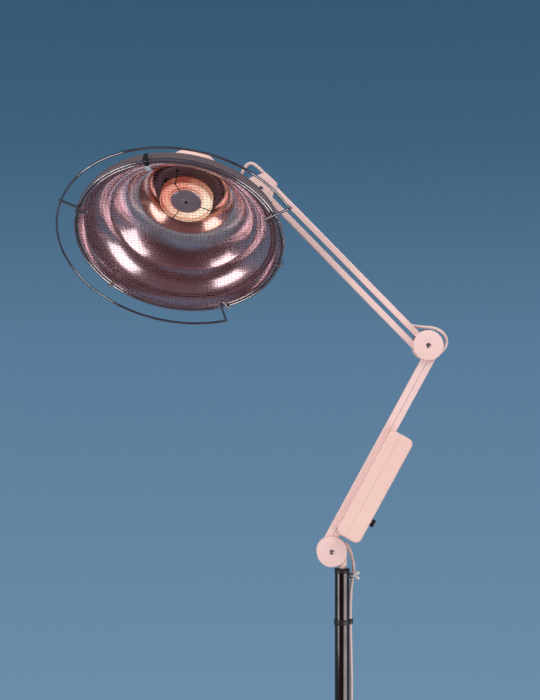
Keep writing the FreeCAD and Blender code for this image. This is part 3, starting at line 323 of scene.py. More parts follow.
# %% Helper: a tube along a path
def add_tube(builder, path, radius, sides, closed=False):
    """Rings carried along the path without twist. The radius may be one number or one for each point."""
    points = [Vector(point) for point in path]
    count = len(points)
    radii = radius if isinstance(radius, (list, tuple)) else [radius] * count
    ahead = []
    for index in range(count):
        if closed:
            before, after = points[index - 1], points[(index + 1) % count]
        else:
            before, after = points[max(index - 1, 0)], points[min(index + 1, count - 1)]
        ahead.append((after - before).normalized())
    side = ahead[0].orthogonal().normalized()
    rings = []
    for index, point in enumerate(points):
        if index:
            side = ahead[index - 1].rotation_difference(ahead[index]) @ side
            side = (side - ahead[index] * side.dot(ahead[index])).normalized()
        up = ahead[index].cross(side)
        ring = []
        for step in range(sides):
            angle = 2 * math.pi * step / sides
            offset = (side * math.cos(angle) + up * math.sin(angle)) * radii[index]
            ring.append(builder.verts.new(point + offset))
        rings.append(ring)
    pairs = list(zip(rings, rings[1:]))
    if closed:
        pairs.append((rings[-1], rings[0]))
    for near, far in pairs:
        for step in range(sides):
            after = (step + 1) % sides
            builder.faces.new((near[step], near[after], far[after], far[step]))
    if not closed:
        builder.faces.new(rings[0])
        builder.faces.new(rings[-1])


# %% [markdown]
# The foot, the dish, the knob's skirt and every screw head are round about an axis. A lathe cuts such a
# shape from an outline, and so does this helper: the outline's points give a radius and a height, and
# each step of the turn adds one row of faces. A screw modifier would do it too, but only for one
# outline in one piece.

# %% Helper: a shape turned from an outline
def add_turned(builder, outline, steps, place=Matrix(), slot=0):
    """Spins a closed outline of (radius, height) about z. The slot may be a list, one for each side."""
    slots = slot if isinstance(slot, list) else [slot] * len(outline)
    columns = []
    for radius, height in outline:
        if radius < 1e-9:
            columns.append([builder.verts.new(place @ Vector((0, 0, height)))] * steps)
            continue
        ring = []
        for step in range(steps):
            angle = 2 * math.pi * step / steps
            ring.append(builder.verts.new(place @ Vector((
                radius * math.cos(angle), radius * math.sin(angle), height))))
        columns.append(ring)
    for index, near in enumerate(columns):
        far = columns[(index + 1) % len(columns)]
        for step in range(steps):
            after = (step + 1) % steps
            corners = []
            for corner in (near[step], near[after], far[after], far[step]):
                if corner not in corners:
                    corners.append(corner)
            if len(corners) > 2:
                face = builder.faces.new(corners)
                face.material_index = slots[index]


# %% [markdown]
# A pressed or moulded outline is mostly arcs. The easiest way to give one is by its two ends and by
# how far its middle bows away from the straight line between them, since that can be measured.

# %% Helper: an arc between two points
def arc_between(start, end, bulge, steps):
    """Points on a circular arc from start to end, bowed to the left of the way by bulge."""
    start, end = Vector(start), Vector(end)
    half = (end - start) / 2
    if abs(bulge) < 1e-9:
        return [tuple(start.lerp(end, index / steps)) for index in range(steps + 1)]
    middle = start + half
    left = Vector((-half.y, half.x)).normalized()
    radius = (half.length_squared + bulge ** 2) / (2 * bulge)
    centre = middle + left * (bulge - radius)
    first = math.atan2(start.y - centre.y, start.x - centre.x)
    last = math.atan2(end.y - centre.y, end.x - centre.x)
    turn = (last - first + math.pi) % (2 * math.pi) - math.pi
    places = []
    for index in range(steps + 1):
        angle = first + turn * index / steps
        places.append((centre.x + abs(radius) * math.cos(angle),
                       centre.y + abs(radius) * math.sin(angle)))
    return places


# %% [markdown]
# Plates, pads and straps are flat outlines with a thickness. Sheet and moulded parts never have a
# perfectly sharp corner, so the helpers ease the edges as they build. The eased edge is what catches
# the light.

# %% Helper: thickened outlines and blocks
EASED_FROM = math.radians(40)


def add_part(builder, part, place, slot):
    """Copies one bmesh into another, moved by a matrix."""
    copies = {}
    for vertex in part.verts:
        copies[vertex] = builder.verts.new(place @ vertex.co)
    for face in part.faces:
        made = builder.faces.new([copies[vertex] for vertex in face.verts])
        made.material_index = slot
    part.free()


def add_plate(builder, outline, start, end, bevel, segments, place=Matrix(), slot=0):
    """A flat outline in x and z, thickened along y from start to end, with its edges eased."""
    part = bmesh.new()
    corners = [part.verts.new((x, start, z)) for x, z in outline]
    face = part.faces.new(corners)
    grown = bmesh.ops.extrude_face_region(part, geom=[face])
    moving = [item for item in grown["geom"] if isinstance(item, bmesh.types.BMVert)]
    bmesh.ops.translate(part, verts=moving, vec=(0, end - start, 0))
    bmesh.ops.recalc_face_normals(part, faces=part.faces)
    edges = [edge for edge in part.edges if edge.calc_face_angle(0) > EASED_FROM]
    bmesh.ops.bevel(part, geom=edges, offset=bevel, segments=segments, affect="EDGES", profile=0.5)
    add_part(builder, part, place, slot)


def add_block(builder, low, high, bevel, segments, place=Matrix(), slot=0):
    """A rounded block between two opposite corners."""
    outline = [(low[0], low[2]), (high[0], low[2]), (high[0], high[2]), (low[0], high[2])]
    add_plate(builder, outline, low[1], high[1], bevel, segments, place, slot)


# %% [markdown]
# Bent wire follows straight runs joined by arcs, because it is bent round a peg of one size. Given the
# corners and that radius, the path is known. A closed circle is the simplest bent wire of all.

# %% Helper: paths of bent wire
STRAIGHT_WITHIN = 0.02


def rounded_path(corners, radius, steps):
    """A path through corners whose turns are arcs of one radius."""
    points = [Vector(corner) for corner in corners]
    path = [points[0]]
    for before, corner, after in zip(points, points[1:], points[2:]):
        back, ahead = (before - corner).normalized(), (after - corner).normalized()
        half_turn = (math.pi - back.angle(ahead)) / 2
        if half_turn < STRAIGHT_WITHIN:
            path.append(corner)
            continue
        reach = radius * math.tan(half_turn)
        middle = (back + ahead).normalized() * (radius / math.cos(half_turn)) + corner
        entry = corner + back * reach - middle
        leave = corner + ahead * reach - middle
        path += [middle + entry.slerp(leave, index / steps) for index in range(steps + 1)]
    path.append(points[-1])
    return path


def circle_path(radius, height, steps):
    return [Vector((radius * math.cos(2 * math.pi * step / steps),
                    radius * math.sin(2 * math.pi * step / steps), height)) for step in range(steps)]


# %% [markdown]
# ## Where the moving parts are
# Each joint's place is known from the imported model. An arm's own axes follow from its two joints: x
# runs along it, y points away from the viewer, and z lies across. The head's axes come from its swing
# joint. Pieces are then drawn in simple local measures, in millimetres, and one matrix sets them.

# %% Places and axes
joint_place = {joint["name"]: Vector(joint["pos_m"]) for joint in frame["joints"]}
joint_axis = {joint["name"]: Vector(joint["axis"]) for joint in frame["joints"]}
IN_MM = Matrix.Scale(MM, 4)


def arm_axes(start, end):
    """A matrix at one joint whose x points to another one. It takes millimetres."""
    along = (end - start).normalized()
    along.y = 0
    along.normalize()
    away = Vector((0, 1, 0))
    across = along.cross(away)
    turn = Matrix((along, away, across)).transposed().to_4x4()
    return Matrix.Translation(start) @ turn @ IN_MM


lower_ends = joint_place["lower_arm_lift"], joint_place["elbow_level"]
upper_ends = joint_place["upper_arm_lift"], joint_place["head_level"]
lower_arm = arm_axes(*lower_ends)
upper_arm = arm_axes(*upper_ends)
lower_link = Matrix.Translation(joint_place["lower_link_turn"] - lower_ends[0]) @ lower_arm
upper_link = Matrix.Translation(joint_place["upper_link_turn"] - upper_ends[0]) @ upper_arm

# The dish leans a little to one side, and its axis passes beside the knuckle that carries it.
DISH_LEAN_DEGREES = 5.75
KNUCKLE_FROM_MOUTH = Vector((0.058, 0, 0.132))
KNUCKLE = joint_place["head_swing"]
tilt_at_rest = math.atan2(joint_axis["head_swing"].z, joint_axis["head_swing"].y)
HEAD = (Matrix.Translation(KNUCKLE) @ Matrix.Rotation(tilt_at_rest, 4, "X")
        @ Matrix.Rotation(math.radians(DISH_LEAN_DEGREES), 4, "Y")
        @ Matrix.Translation(-KNUCKLE_FROM_MOUTH))
HEAD_MM = HEAD @ IN_MM
HEAD_TURN = HEAD.to_euler()
print("tilt of the head in degrees:", round(math.degrees(tilt_at_rest), 2))

# %% [markdown]
# ## Finishes
# A material is a small network. A few effects turn up on many surfaces: a fine grain, worn edges,
# settled dust and the lines that a lathe leaves. Each is a node group, built once, which puts out
# colours and masks. The shader itself stays in each material, so its plain values are easy to read.

# %% Helpers for shader networks
def feed(tree, socket, value):
    """Links a socket to another socket, or sets it to a plain value."""
    if isinstance(value, bpy.types.NodeSocket):
        tree.links.new(value, socket)
    else:
        socket.default_value = value


def add_node(tree, kind, settings=None, **inputs):
    """A node with its settings and what its inputs are fed."""
    node = tree.nodes.new(kind)
    for name, value in (settings or {}).items():
        setattr(node, name, value)
    for name, value in inputs.items():
        feed(tree, node.inputs[name.replace("_", " ")], value)
    return node


def math_node(tree, operation, first, second):
    node = add_node(tree, "ShaderNodeMath", {"operation": operation})
    feed(tree, node.inputs[0], first)
    feed(tree, node.inputs[1], second)
    return node.outputs[0]


def span(tree, value, low, high, new_low=0.0, new_high=1.0):
    """Stretches one range of a value onto another and cuts off what lies outside."""
    node = add_node(tree, "ShaderNodeMapRange", {"clamp": True}, Value=value,
                    From_Min=low, From_Max=high, To_Min=new_low, To_Max=new_high)
    return node.outputs["Result"]


def mixed(tree, factor, first, second):
    """Two colours mixed. On this node, sockets 0, 6 and 7 take the factor and the two colours."""
    node = add_node(tree, "ShaderNodeMix", {"data_type": "RGBA"})
    for number, value in ((0, factor), (6, first), (7, second)):
        feed(tree, node.inputs[number], value)
    return node.outputs[2]


def ramp(tree, factor, stops):
    """Colours given at stops between 0 and 1, and mixed in between."""
    node = tree.nodes.new("ShaderNodeValToRGB")
    elements = node.color_ramp.elements
    while len(elements) < len(stops):
        elements.new(0.5)
    for element, (position, colour) in zip(elements, stops):
        element.position = position
        element.color = (*colour, 1.0)
    tree.links.new(factor, node.inputs["Fac"])
    return node.outputs["Color"]


# %% [markdown]
# A node group is a small network with named inputs and outputs, like a function. The first helper
# makes one, the second one places it in a material with its own values.

# %% Helpers for node groups
def new_group(name, inputs, outputs):
    """The group's tree, what goes into it and what comes out."""
    tree = bpy.data.node_groups.new(name, "ShaderNodeTree")
    for label, value in inputs:
        kind = "NodeSocketVector" if isinstance(value, tuple) else "NodeSocketFloat"
        socket = tree.interface.new_socket(label, in_out="INPUT", socket_type=kind)
        socket.default_value = value
    for label in outputs:
        tree.interface.new_socket(label, in_out="OUTPUT", socket_type="NodeSocketFloat")
    return tree, tree.nodes.new("NodeGroupInput").outputs, tree.nodes.new("NodeGroupOutput").inputs


def use_group(tree, group, **inputs):
    node = tree.nodes.new("ShaderNodeGroup")
    node.node_tree = group
    for name, value in inputs.items():
        feed(tree, node.inputs[name.replace("_", " ").capitalize()], value)
    return node.outputs


# %% [markdown]
# ### Fine grain
# Sprayed paint and moulded plastic both have a texture well under a millimetre high. An image could
# give it, but noise in the object's own coordinates needs no unwrapping and keeps its real scale. A
# second, larger noise makes the colour and gloss drift a little, as they do on any painted part.

# %% Group: fine grain
grain_group, given, result = new_group(
    "fine grain", [("Size", 900.0), ("Drift size", 14.0)], ["Height", "Drift"])
place = add_node(grain_group, "ShaderNodeTexCoord").outputs["Object"]
fine = add_node(grain_group, "ShaderNodeTexNoise", Vector=place, Scale=given["Size"],
                Detail=3.0, Roughness=0.55)
broad = add_node(grain_group, "ShaderNodeTexNoise", Vector=place, Scale=given["Drift size"], Detail=4.0)
grain_group.links.new(fine.outputs["Fac"], result["Height"])
grain_group.links.new(broad.outputs["Fac"], result["Drift"])
print("group", grain_group.name, "puts out", [socket.name for socket in result if socket.name])

# %% [markdown]
# ### Worn edges
# Handling rubs paint thin where a shape turns sharply. Pointiness measures how convex the surface is
# at each point, and noise breaks it up, because wear is never an even line.

# %% Group: worn edges
wear_group, given, result = new_group("worn edges", [("Start", 0.53), ("End", 0.60)], ["Mask"])
pointed = add_node(wear_group, "ShaderNodeNewGeometry").outputs["Pointiness"]
place = add_node(wear_group, "ShaderNodeTexCoord").outputs["Object"]
patches = add_node(wear_group, "ShaderNodeTexNoise", Vector=place, Scale=160.0, Detail=5.0)
edge = add_node(wear_group, "ShaderNodeMapRange", {"clamp": True},
                Value=pointed, From_Min=given["Start"], From_Max=given["End"])
broken = math_node(wear_group, "MULTIPLY", edge.outputs["Result"],
                   span(wear_group, patches.outputs["Fac"], 0.4, 0.62))
wear_group.links.new(broken, result["Mask"])
print("group", wear_group.name, "puts out", [socket.name for socket in result if socket.name])

# %% [markdown]
# ### Dust
# Dust settles on what faces up. The normal's upward part gives that, and noise thins it in places.

# %% Group: settled dust
dust_group, given, result = new_group("settled dust", [("Amount", 0.3)], ["Mask"])
facing = add_node(dust_group, "ShaderNodeSeparateXYZ",
                  Vector=add_node(dust_group, "ShaderNodeNewGeometry").outputs["Normal"]).outputs["Z"]
place = add_node(dust_group, "ShaderNodeTexCoord").outputs["Object"]
cloud = add_node(dust_group, "ShaderNodeTexNoise", Vector=place, Scale=60.0, Detail=6.0)
upward = span(dust_group, facing, 0.35, 1.0)
thinned = math_node(dust_group, "MULTIPLY", upward, span(dust_group, cloud.outputs["Fac"], 0.35, 0.7))
dust_group.links.new(math_node(dust_group, "MULTIPLY", thinned, given["Amount"]), result["Mask"])
print("group", dust_group.name, "puts out", [socket.name for socket in result if socket.name])

# %% [markdown]
# ### Turned lines
# A spun or turned part shows faint rings round its axis. The distance from the axis, fed to a noise
# with one dimension, gives rings of uneven width. The head's axis is tilted, so its object
# coordinates are turned back by the head's own rotation before they reach the group.

# %% Group: turned lines
turned_group, given, result = new_group(
    "turned lines", [("Place", (0.0, 0.0, 0.0)), ("Lines", 900.0)], ["Height", "Distance"])
parts = add_node(turned_group, "ShaderNodeSeparateXYZ", Vector=given["Place"]).outputs
flat = add_node(turned_group, "ShaderNodeCombineXYZ", X=parts["X"], Y=parts["Y"]).outputs["Vector"]
distance = add_node(turned_group, "ShaderNodeVectorMath", {"operation": "LENGTH"},
                    Vector=flat).outputs["Value"]
along = math_node(turned_group, "ADD", distance, math_node(turned_group, "MULTIPLY", parts["Z"], 0.7))
rings = add_node(turned_group, "ShaderNodeTexNoise", {"noise_dimensions": "1D"},
                 W=math_node(turned_group, "MULTIPLY", along, given["Lines"]), Scale=1.0, Detail=3.0)
turned_group.links.new(rings.outputs["Fac"], result["Height"])
turned_group.links.new(distance, result["Distance"])
print("group", turned_group.name, "puts out", [socket.name for socket in result if socket.name])


def head_place(tree):
    """Object coordinates turned so that z is the dish's axis."""
    place = add_node(tree, "ShaderNodeTexCoord").outputs["Object"]
    turn = add_node(tree, "ShaderNodeVectorRotate", {"rotation_type": "EULER_XYZ", "invert": True},
                    Vector=place, Rotation=HEAD_TURN)
    return turn.outputs["Vector"]


# %% [markdown]
# Each finish here is one Principled shader with something fed to a few of its sockets. What is the same
# all over a surface is set on the socket as a plain value, so that it survives an export. Paint and
# plastic share one recipe: a colour that drifts, a worn tone on sharp edges and dust on top.

# %% Helper: a material round one shader
def new_material(name, **values):
    """A material with a Principled shader. Plain values go straight on the shader's sockets."""
    material = bpy.data.materials.new(name)
    material.use_nodes = True
    tree = material.node_tree
    shader = tree.nodes["Principled BSDF"]
    for label, value in values.items():
        socket = shader.inputs[label.replace("_", " ")]
        socket.default_value = (*value, 1.0) if isinstance(value, tuple) else value
    return material, tree, shader


def bump(tree, shader, height, strength, distance):
    node = add_node(tree, "ShaderNodeBump", Height=height, Strength=strength, Distance=distance)
    tree.links.new(node.outputs["Normal"], shader.inputs["Normal"])


DUST_COLOUR = (0.62, 0.60, 0.57, 1)


def painted(name, colour, darker, worn, roughness, grain=900.0, depth=0.03 * MM, wear=(0.53, 0.62),
            dusty=0.22, **values):
    """A grained surface whose colour drifts, with worn edges and dust. It serves paint and plastic."""
    material, tree, shader = new_material(name, **values)
    surface = use_group(tree, grain_group, size=grain)
    worn_mask = use_group(tree, wear_group, start=wear[0], end=wear[1])["Mask"]
    dust = use_group(tree, dust_group, amount=dusty)["Mask"]
    body_colour = mixed(tree, span(tree, surface["Drift"], 0.35, 0.65), (*colour, 1), (*darker, 1))
    body_colour = mixed(tree, worn_mask, body_colour, (*worn, 1))
    body_colour = mixed(tree, dust, body_colour, DUST_COLOUR)
    tree.links.new(body_colour, shader.inputs["Base Color"])
    drift = span(tree, surface["Drift"], 0.3, 0.7, roughness - 0.04, roughness + 0.06)
    tree.links.new(math_node(tree, "ADD", drift, dust), shader.inputs["Roughness"])
    bump(tree, shader, surface["Height"], 0.6, depth)
    return material


# %% [markdown]
# ### Paints, plastics and rubber
# The arms and covers are steel with a warm off-white powder coat. The case is moulded in the same
# colour, with a coarser pebble. The collar, clips, knob and foot are black. After the name come the
# colour, a darker tone it drifts to, the tone of worn edges, and the roughness.

# %% Paints and plastics
arm_paint = painted("arm_paint", (0.85, 0.60, 0.57), (0.82, 0.565, 0.535), (0.90, 0.68, 0.65), 0.34,
                    grain=2400.0, depth=0.006 * MM, wear=(0.62, 0.80), dusty=0.1, Coat_Weight=0.2)
rail_paint = painted("rail_paint", (0.85, 0.60, 0.57), (0.82, 0.565, 0.535), (0.88, 0.64, 0.61), 0.34,
                     grain=2400.0, depth=0.004 * MM, wear=(0.80, 1.0), dusty=0.05, Coat_Weight=0.2)
case_plastic = painted("case_plastic", (0.86, 0.58, 0.525), (0.82, 0.54, 0.485), (0.90, 0.68, 0.63), 0.42,
                       grain=700.0, depth=0.03 * MM, wear=(0.56, 0.68), dusty=0.1, Coat_Weight=0.1)
soft_grip = painted("soft_grip", (0.76, 0.58, 0.55), (0.70, 0.53, 0.50), (0.80, 0.64, 0.60), 0.5,
                    grain=1400.0, depth=0.02 * MM)
pad_rubber = painted("pad_rubber", (0.42, 0.46, 0.52), (0.36, 0.40, 0.46), (0.50, 0.53, 0.58), 0.5,
                     grain=1400.0, depth=0.02 * MM)
lead_rubber = painted("lead_rubber", (0.74, 0.55, 0.52), (0.68, 0.50, 0.47), (0.78, 0.60, 0.57), 0.45,
                      grain=1800.0, depth=0.01 * MM, dusty=0.1)
clip_plastic = painted("clip_plastic", (0.010, 0.009, 0.009), (0.014, 0.013, 0.012),
                       (0.03, 0.028, 0.028), 0.36, grain=800.0, depth=0.04 * MM, wear=(0.58, 0.68),
                       dusty=0.03, Coat_Weight=0.1)
foot_enamel = painted("foot_enamel", (0.013, 0.013, 0.014), (0.018, 0.017, 0.017), (0.05, 0.05, 0.05),
                      0.24, grain=260.0, depth=0.03 * MM, wear=(0.58, 0.68), dusty=0.05,
                      Coat_Weight=0.5, Coat_Roughness=0.14)
mat_rubber = painted("mat_rubber", (0.02, 0.02, 0.02), (0.03, 0.029, 0.028), (0.05, 0.05, 0.05), 0.75,
                     grain=700.0, depth=0.08 * MM, dusty=0.1)
grey_nylon = painted("grey_nylon", (0.10, 0.10, 0.10), (0.13, 0.13, 0.13), (0.2, 0.2, 0.2), 0.5)
print("painted finishes:", [one.name for one in (arm_paint, rail_paint, case_plastic, foot_enamel)])
print("rubber and soft plastic:", [one.name for one in (soft_grip, pad_rubber, lead_rubber, mat_rubber)])

# %% [markdown]
# ### Metals
# Bare metals differ mostly in tint and in how fine their lines are. Chrome wire is nearly a mirror,
# with faint stains. Screws are bright zinc. The column is a black nickel tube: dark, yet glossy
# enough to show one long highlight.

# %% Metals
def metal(name, colour, stain, roughness, depth=0.01 * MM, metallic=1.0, **values):
    material, tree, shader = new_material(name, Metallic=metallic, **values)
    surface = use_group(tree, grain_group, size=1500.0, drift_size=35.0)
    tone = mixed(tree, span(tree, surface["Drift"], 0.42, 0.7), (*colour, 1), (*stain, 1))
    tree.links.new(tone, shader.inputs["Base Color"])
    gloss = span(tree, surface["Drift"], 0.3, 0.7, roughness * 0.8, roughness * 1.3)
    tree.links.new(gloss, shader.inputs["Roughness"])
    bump(tree, shader, surface["Height"], 0.5, depth)
    return material


hoop_chrome = metal("hoop_chrome", (0.42, 0.40, 0.41), (0.26, 0.25, 0.255), 0.07, 0.002 * MM)
rim_steel = metal("rim_steel", (0.62, 0.58, 0.59), (0.44, 0.40, 0.41), 0.16)
mesh_steel = metal("mesh_steel", (0.62, 0.52, 0.52), (0.46, 0.38, 0.38), 0.3)
bright_steel = metal("bright_steel", (0.80, 0.79, 0.77), (0.62, 0.60, 0.58), 0.22)
cast_zinc = metal("cast_zinc", (0.82, 0.81, 0.79), (0.60, 0.58, 0.56), 0.34, metallic=0.55)
screw_steel = metal("screw_steel", (0.52, 0.46, 0.45), (0.22, 0.19, 0.18), 0.25)
burnt_steel = metal("burnt_steel", (0.07, 0.05, 0.045), (0.03, 0.02, 0.02), 0.5)
brass = metal("brass", (0.78, 0.56, 0.27), (0.60, 0.40, 0.18), 0.24)
cast_iron = metal("cast_iron", (0.18, 0.18, 0.185), (0.12, 0.11, 0.11), 0.6)
spring_steel = metal("spring_steel", (0.34, 0.33, 0.33), (0.24, 0.22, 0.21), 0.3)
black_nickel = metal("black_nickel", (0.075, 0.062, 0.058), (0.055, 0.045, 0.042), 0.13,
                     Coat_Weight=0.5, Coat_Roughness=0.05)
print("metals:", [one.name for one in (hoop_chrome, rim_steel, mesh_steel, bright_steel, black_nickel)])

# %% [markdown]
# ### The spun dish
# The dish is aluminium pressed over a turning form and polished. Its colour follows the distance from
# the axis, and much of it is painted reflection: the coppery band next to the heater stands for the
# heater's glow mirrored, the colder grey-blue band for the blue backdrop mirrored, and the reddish brown
# from there to the mouth partly for the dark room in front and partly for a heat tint. Fine rings from
# the spinning tool stretch each highlight. In the grey-blue band the Metallic value falls, so that the
# painted blue shows.

# %% Spun aluminium
TINT_REACH = 0.18
HEAT_STAIN = (0.40, 0.24, 0.24, 1)
LINE_DEPTH = 0.012 * MM
PAINTED_BAND_LOSS = 0.55


def spun_aluminium(name, stops, roughness, painted_band=None, metallic=1.0):
    """The stops run from the axis to 18 cm from it. The painted band is a band of radii where the metal is
    less of a mirror, so that a painted reflection shows there.
    """
    material, tree, shader = new_material(name, Metallic=metallic)
    rings = use_group(tree, turned_group, place=head_place(tree), lines=1300.0)
    surface = use_group(tree, grain_group, size=500.0, drift_size=22.0)
    tint = ramp(tree, span(tree, rings["Distance"], 0.0, TINT_REACH), stops)
    tint = mixed(tree, span(tree, surface["Drift"], 0.45, 0.75, 0.0, 0.3), tint, HEAT_STAIN)
    tree.links.new(tint, shader.inputs["Base Color"])
    # In the painted band Metallic falls, so that the painted blue reflection shows as diffuse colour.
    if painted_band:
        inner_edge = span(tree, rings["Distance"], painted_band[0], painted_band[0] + 0.001)
        outer_edge = span(tree, rings["Distance"], painted_band[1], painted_band[1] - 0.011)
        loss = math_node(tree, "MULTIPLY", math_node(tree, "MULTIPLY", inner_edge, outer_edge), PAINTED_BAND_LOSS)
        tree.links.new(math_node(tree, "SUBTRACT", 1.0, loss), shader.inputs["Metallic"])
    gloss = span(tree, rings["Height"], 0.3, 0.7, roughness * 0.8, roughness * 1.25)
    tree.links.new(gloss, shader.inputs["Roughness"])
    bump(tree, shader, rings["Height"], 0.35, LINE_DEPTH)
    return material


# Painted reflection: the coppery stops from 0.33 to 0.425 stand for the heater's glow, the grey-blue ones
# at 0.445 and 0.50 for the blue backdrop, and the reddish browns beyond partly for the dark room.
DISH_TINTS_AND_REFLECTIONS = [
    (0.00, (0.46, 0.42, 0.45)),
    (0.30, (0.50, 0.44, 0.47)),
    (0.33, (0.70, 0.43, 0.38)),
    (0.40, (0.72, 0.42, 0.36)),
    (0.425, (0.88, 0.44, 0.33)),
    (0.445, (0.50, 0.58, 0.70)),
    (0.50, (0.46, 0.52, 0.64)),
    (0.55, (0.65, 0.48, 0.51)),
    (0.64, (0.66, 0.47, 0.49)),
    (0.70, (0.64, 0.50, 0.53)),
    (0.80, (0.68, 0.50, 0.53)),
    (0.95, (0.74, 0.57, 0.61)),
]
dish_inside = spun_aluminium("dish_inside", DISH_TINTS_AND_REFLECTIONS, 0.17, painted_band=(0.0785, 0.096))
# The outside is a dark brown-grey that stands for the aluminium in shade: painted shade.
OUTSIDE_TINTS_AND_SHADE = [(0.0, (0.27, 0.195, 0.19)), (1.0, (0.25, 0.18, 0.18))]
dish_outside = spun_aluminium("dish_outside", OUTSIDE_TINTS_AND_SHADE, 0.5, metallic=0.55)
print("the dish is tinted in", len(DISH_TINTS_AND_REFLECTIONS), "steps inside and", len(OUTSIDE_TINTS_AND_SHADE), "outside")

# %% [markdown]
# ### The glowing ring
# The ring is a ceramic trough heated until it glows. Light alone would leave it flat, so the glow
# itself varies: a slow noise and the place round the ring move it between orange and nearly white.
# Two slopes give the place, one sideways and one downwards, as a share for each metre.

# %% Glowing ceramic and wire
SIDEWAYS_SLOPE = 11.0
DOWNWARD_SLOPE = -17.0
MIDDLE_LEVEL = 0.06


def glowing(name, cool, hot, strength, base):
    """The glow is hottest low on the right and dullest high on the left."""
    material, tree, shader = new_material(name, Base_Color=base, Roughness=0.7, Emission_Strength=strength)
    place = add_node(tree, "ShaderNodeTexCoord").outputs["Object"]
    parts = add_node(tree, "ShaderNodeSeparateXYZ", Vector=place).outputs
    cloud = add_node(tree, "ShaderNodeTexNoise", Vector=place, Scale=70.0, Detail=5.0).outputs["Fac"]
    sideways = math_node(tree, "MULTIPLY", parts["X"], SIDEWAYS_SLOPE)
    rise = math_node(tree, "SUBTRACT", parts["Z"], MIDDLE_LEVEL)
    side = math_node(tree, "ADD", sideways, math_node(tree, "MULTIPLY", rise, DOWNWARD_SLOPE))
    heat = math_node(tree, "ADD", span(tree, side, -0.45, 0.7), span(tree, cloud, 0.3, 0.7, -0.2, 0.2))
    glow = mixed(tree, span(tree, heat, 0.05, 0.85), (*cool, 1), (*hot, 1))
    tree.links.new(glow, shader.inputs["Emission Color"])
    bump(tree, shader, use_group(tree, grain_group, size=600.0)["Height"], 0.5, 0.05 * MM)
    return material


hot_face = glowing("hot_face", (0.66, 0.22, 0.16), (1.0, 0.86, 0.71), 0.94, (0.30, 0.16, 0.13))
# Painted shade: the walls, most of them inside the trough's channel, glow darker and redder than the
# faces.
hot_wall_in_painted_shade = glowing("hot_wall_in_painted_shade", (0.34, 0.05, 0.03), (0.92, 0.52, 0.32), 0.7, (0.25, 0.10, 0.07))
hot_wire = glowing("hot_wire", (0.80, 0.30, 0.21), (1.0, 0.88, 0.70), 0.9, (0.3, 0.2, 0.16))
dull_back = glowing("dull_back", (0.10, 0.02, 0.015), (0.30, 0.09, 0.05), 0.3, (0.20, 0.12, 0.10))
print("glowing finishes:", [one.name for one in (hot_face, hot_wall_in_painted_shade, hot_wire, dull_back)])

# %% [markdown]
# ### Lens, cap and plate
# The indicator's lens is moulded in amber plastic. The cap in the middle of the ring and the plate
# behind it are pressed from aluminium like the dish, but never polished. They are rougher. The cap's
# bluish grey is a painted reflection of the blue backdrop, and its lower Metallic value lets it show.

# %% Lens, cap and plate
amber_lens, tree, shader = new_material("amber_lens", Roughness=0.12, IOR=1.5)
lens_grain = use_group(tree, grain_group, size=700.0, drift_size=260.0)
tree.links.new(mixed(tree, lens_grain["Drift"], (0.42, 0.05, 0.02, 1), (0.25, 0.03, 0.015, 1)),
               shader.inputs["Base Color"])
bump(tree, shader, lens_grain["Height"], 0.3, 0.02 * MM)
# The cap's bluish grey is painted reflection of the blue backdrop.
CAP_TINTS_AND_REFLECTION = [(0.0, (0.56, 0.51, 0.60)), (0.3, (0.50, 0.45, 0.54)), (1.0, (0.44, 0.38, 0.42))]
PLATE_TINTS = [(0.0, (0.42, 0.31, 0.35)), (1.0, (0.46, 0.31, 0.33))]
cap_metal = spun_aluminium("cap_metal", CAP_TINTS_AND_REFLECTION, 0.34, metallic=0.7)
plate_metal = spun_aluminium("plate_metal", PLATE_TINTS, 0.5)
print("all finishes:", len(bpy.data.materials))

# %% [markdown]
# ## Dressing the solids
# The plates, pins and case already have their right shape. They keep it, and two modifiers make
# them look made: one welds the corners that the file splits, and one eases each sharp edge, so that
# it catches the light. The solid itself isn't changed.

# %% Helper: finish a solid that stays
SPLIT_CORNERS_WITHIN = 0.002 * MM
SHARP_FROM = math.radians(35)


def dressed(name, material, edge, segments=2):
    """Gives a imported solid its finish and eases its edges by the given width, or by none at 0."""
    solid = nodes[name]
    solid.data.materials.clear()
    solid.data.materials.append(material)
    if edge:
        weld = solid.modifiers.new("weld", "WELD")
        weld.merge_threshold = SPLIT_CORNERS_WITHIN
        ease = solid.modifiers.new("ease", "BEVEL")
        ease.width = edge
        ease.segments = segments
        ease.limit_method = "ANGLE"
        ease.angle_limit = SHARP_FROM
        ease.harden_normals = True


# %% [markdown]
# The mat, weight, clips, plates, pins and the case keep their solids. The sprayed parts get the arm
# paint, moulded parts the case plastic, and bare parts a metal. The edge width follows how the real
# piece is made: a punched plate is sharper than a cast weight.

# %% Dress the stand and the bodies of the arms
dressed("foot_mat", mat_rubber, 0)
dressed("base_weight", cast_iron, 0.6 * MM)
dressed("clamp_insert", screw_steel, 0.3 * MM)
dressed("thrust_washer", grey_nylon, 0.3 * MM)
dressed("cord_clips", clip_plastic, 0.25 * MM)
for name in ("yoke_frame", "elbow_front_plate", "elbow_middle_plate", "elbow_back_plate",
             "bracket_front_plate", "bracket_back_plate"):
    dressed(name, arm_paint, 0.4 * MM)
for name in ("yoke_pivot_pins", "elbow_pivot_pins"):
    dressed(name, screw_steel, 0.3 * MM)
dressed("bracket_pivot_pins", arm_paint, 0.3 * MM)
dressed("timer_switch", grey_nylon, 0.4 * MM)
dressed("control_box_base", case_plastic, 0.4 * MM)
dressed("control_box_lid", case_plastic, 0.4 * MM)
dressed("bracket_block", arm_paint, 0.8 * MM, 3)
dressed("tilt_spindle", arm_paint, 0.5 * MM)
dressed("knuckle_pin", screw_steel, 0.3 * MM)
dressed("heater_terminals", burnt_steel, 0.3 * MM)
print("solids dressed:", len([piece for piece in nodes.values() if piece.modifiers]))

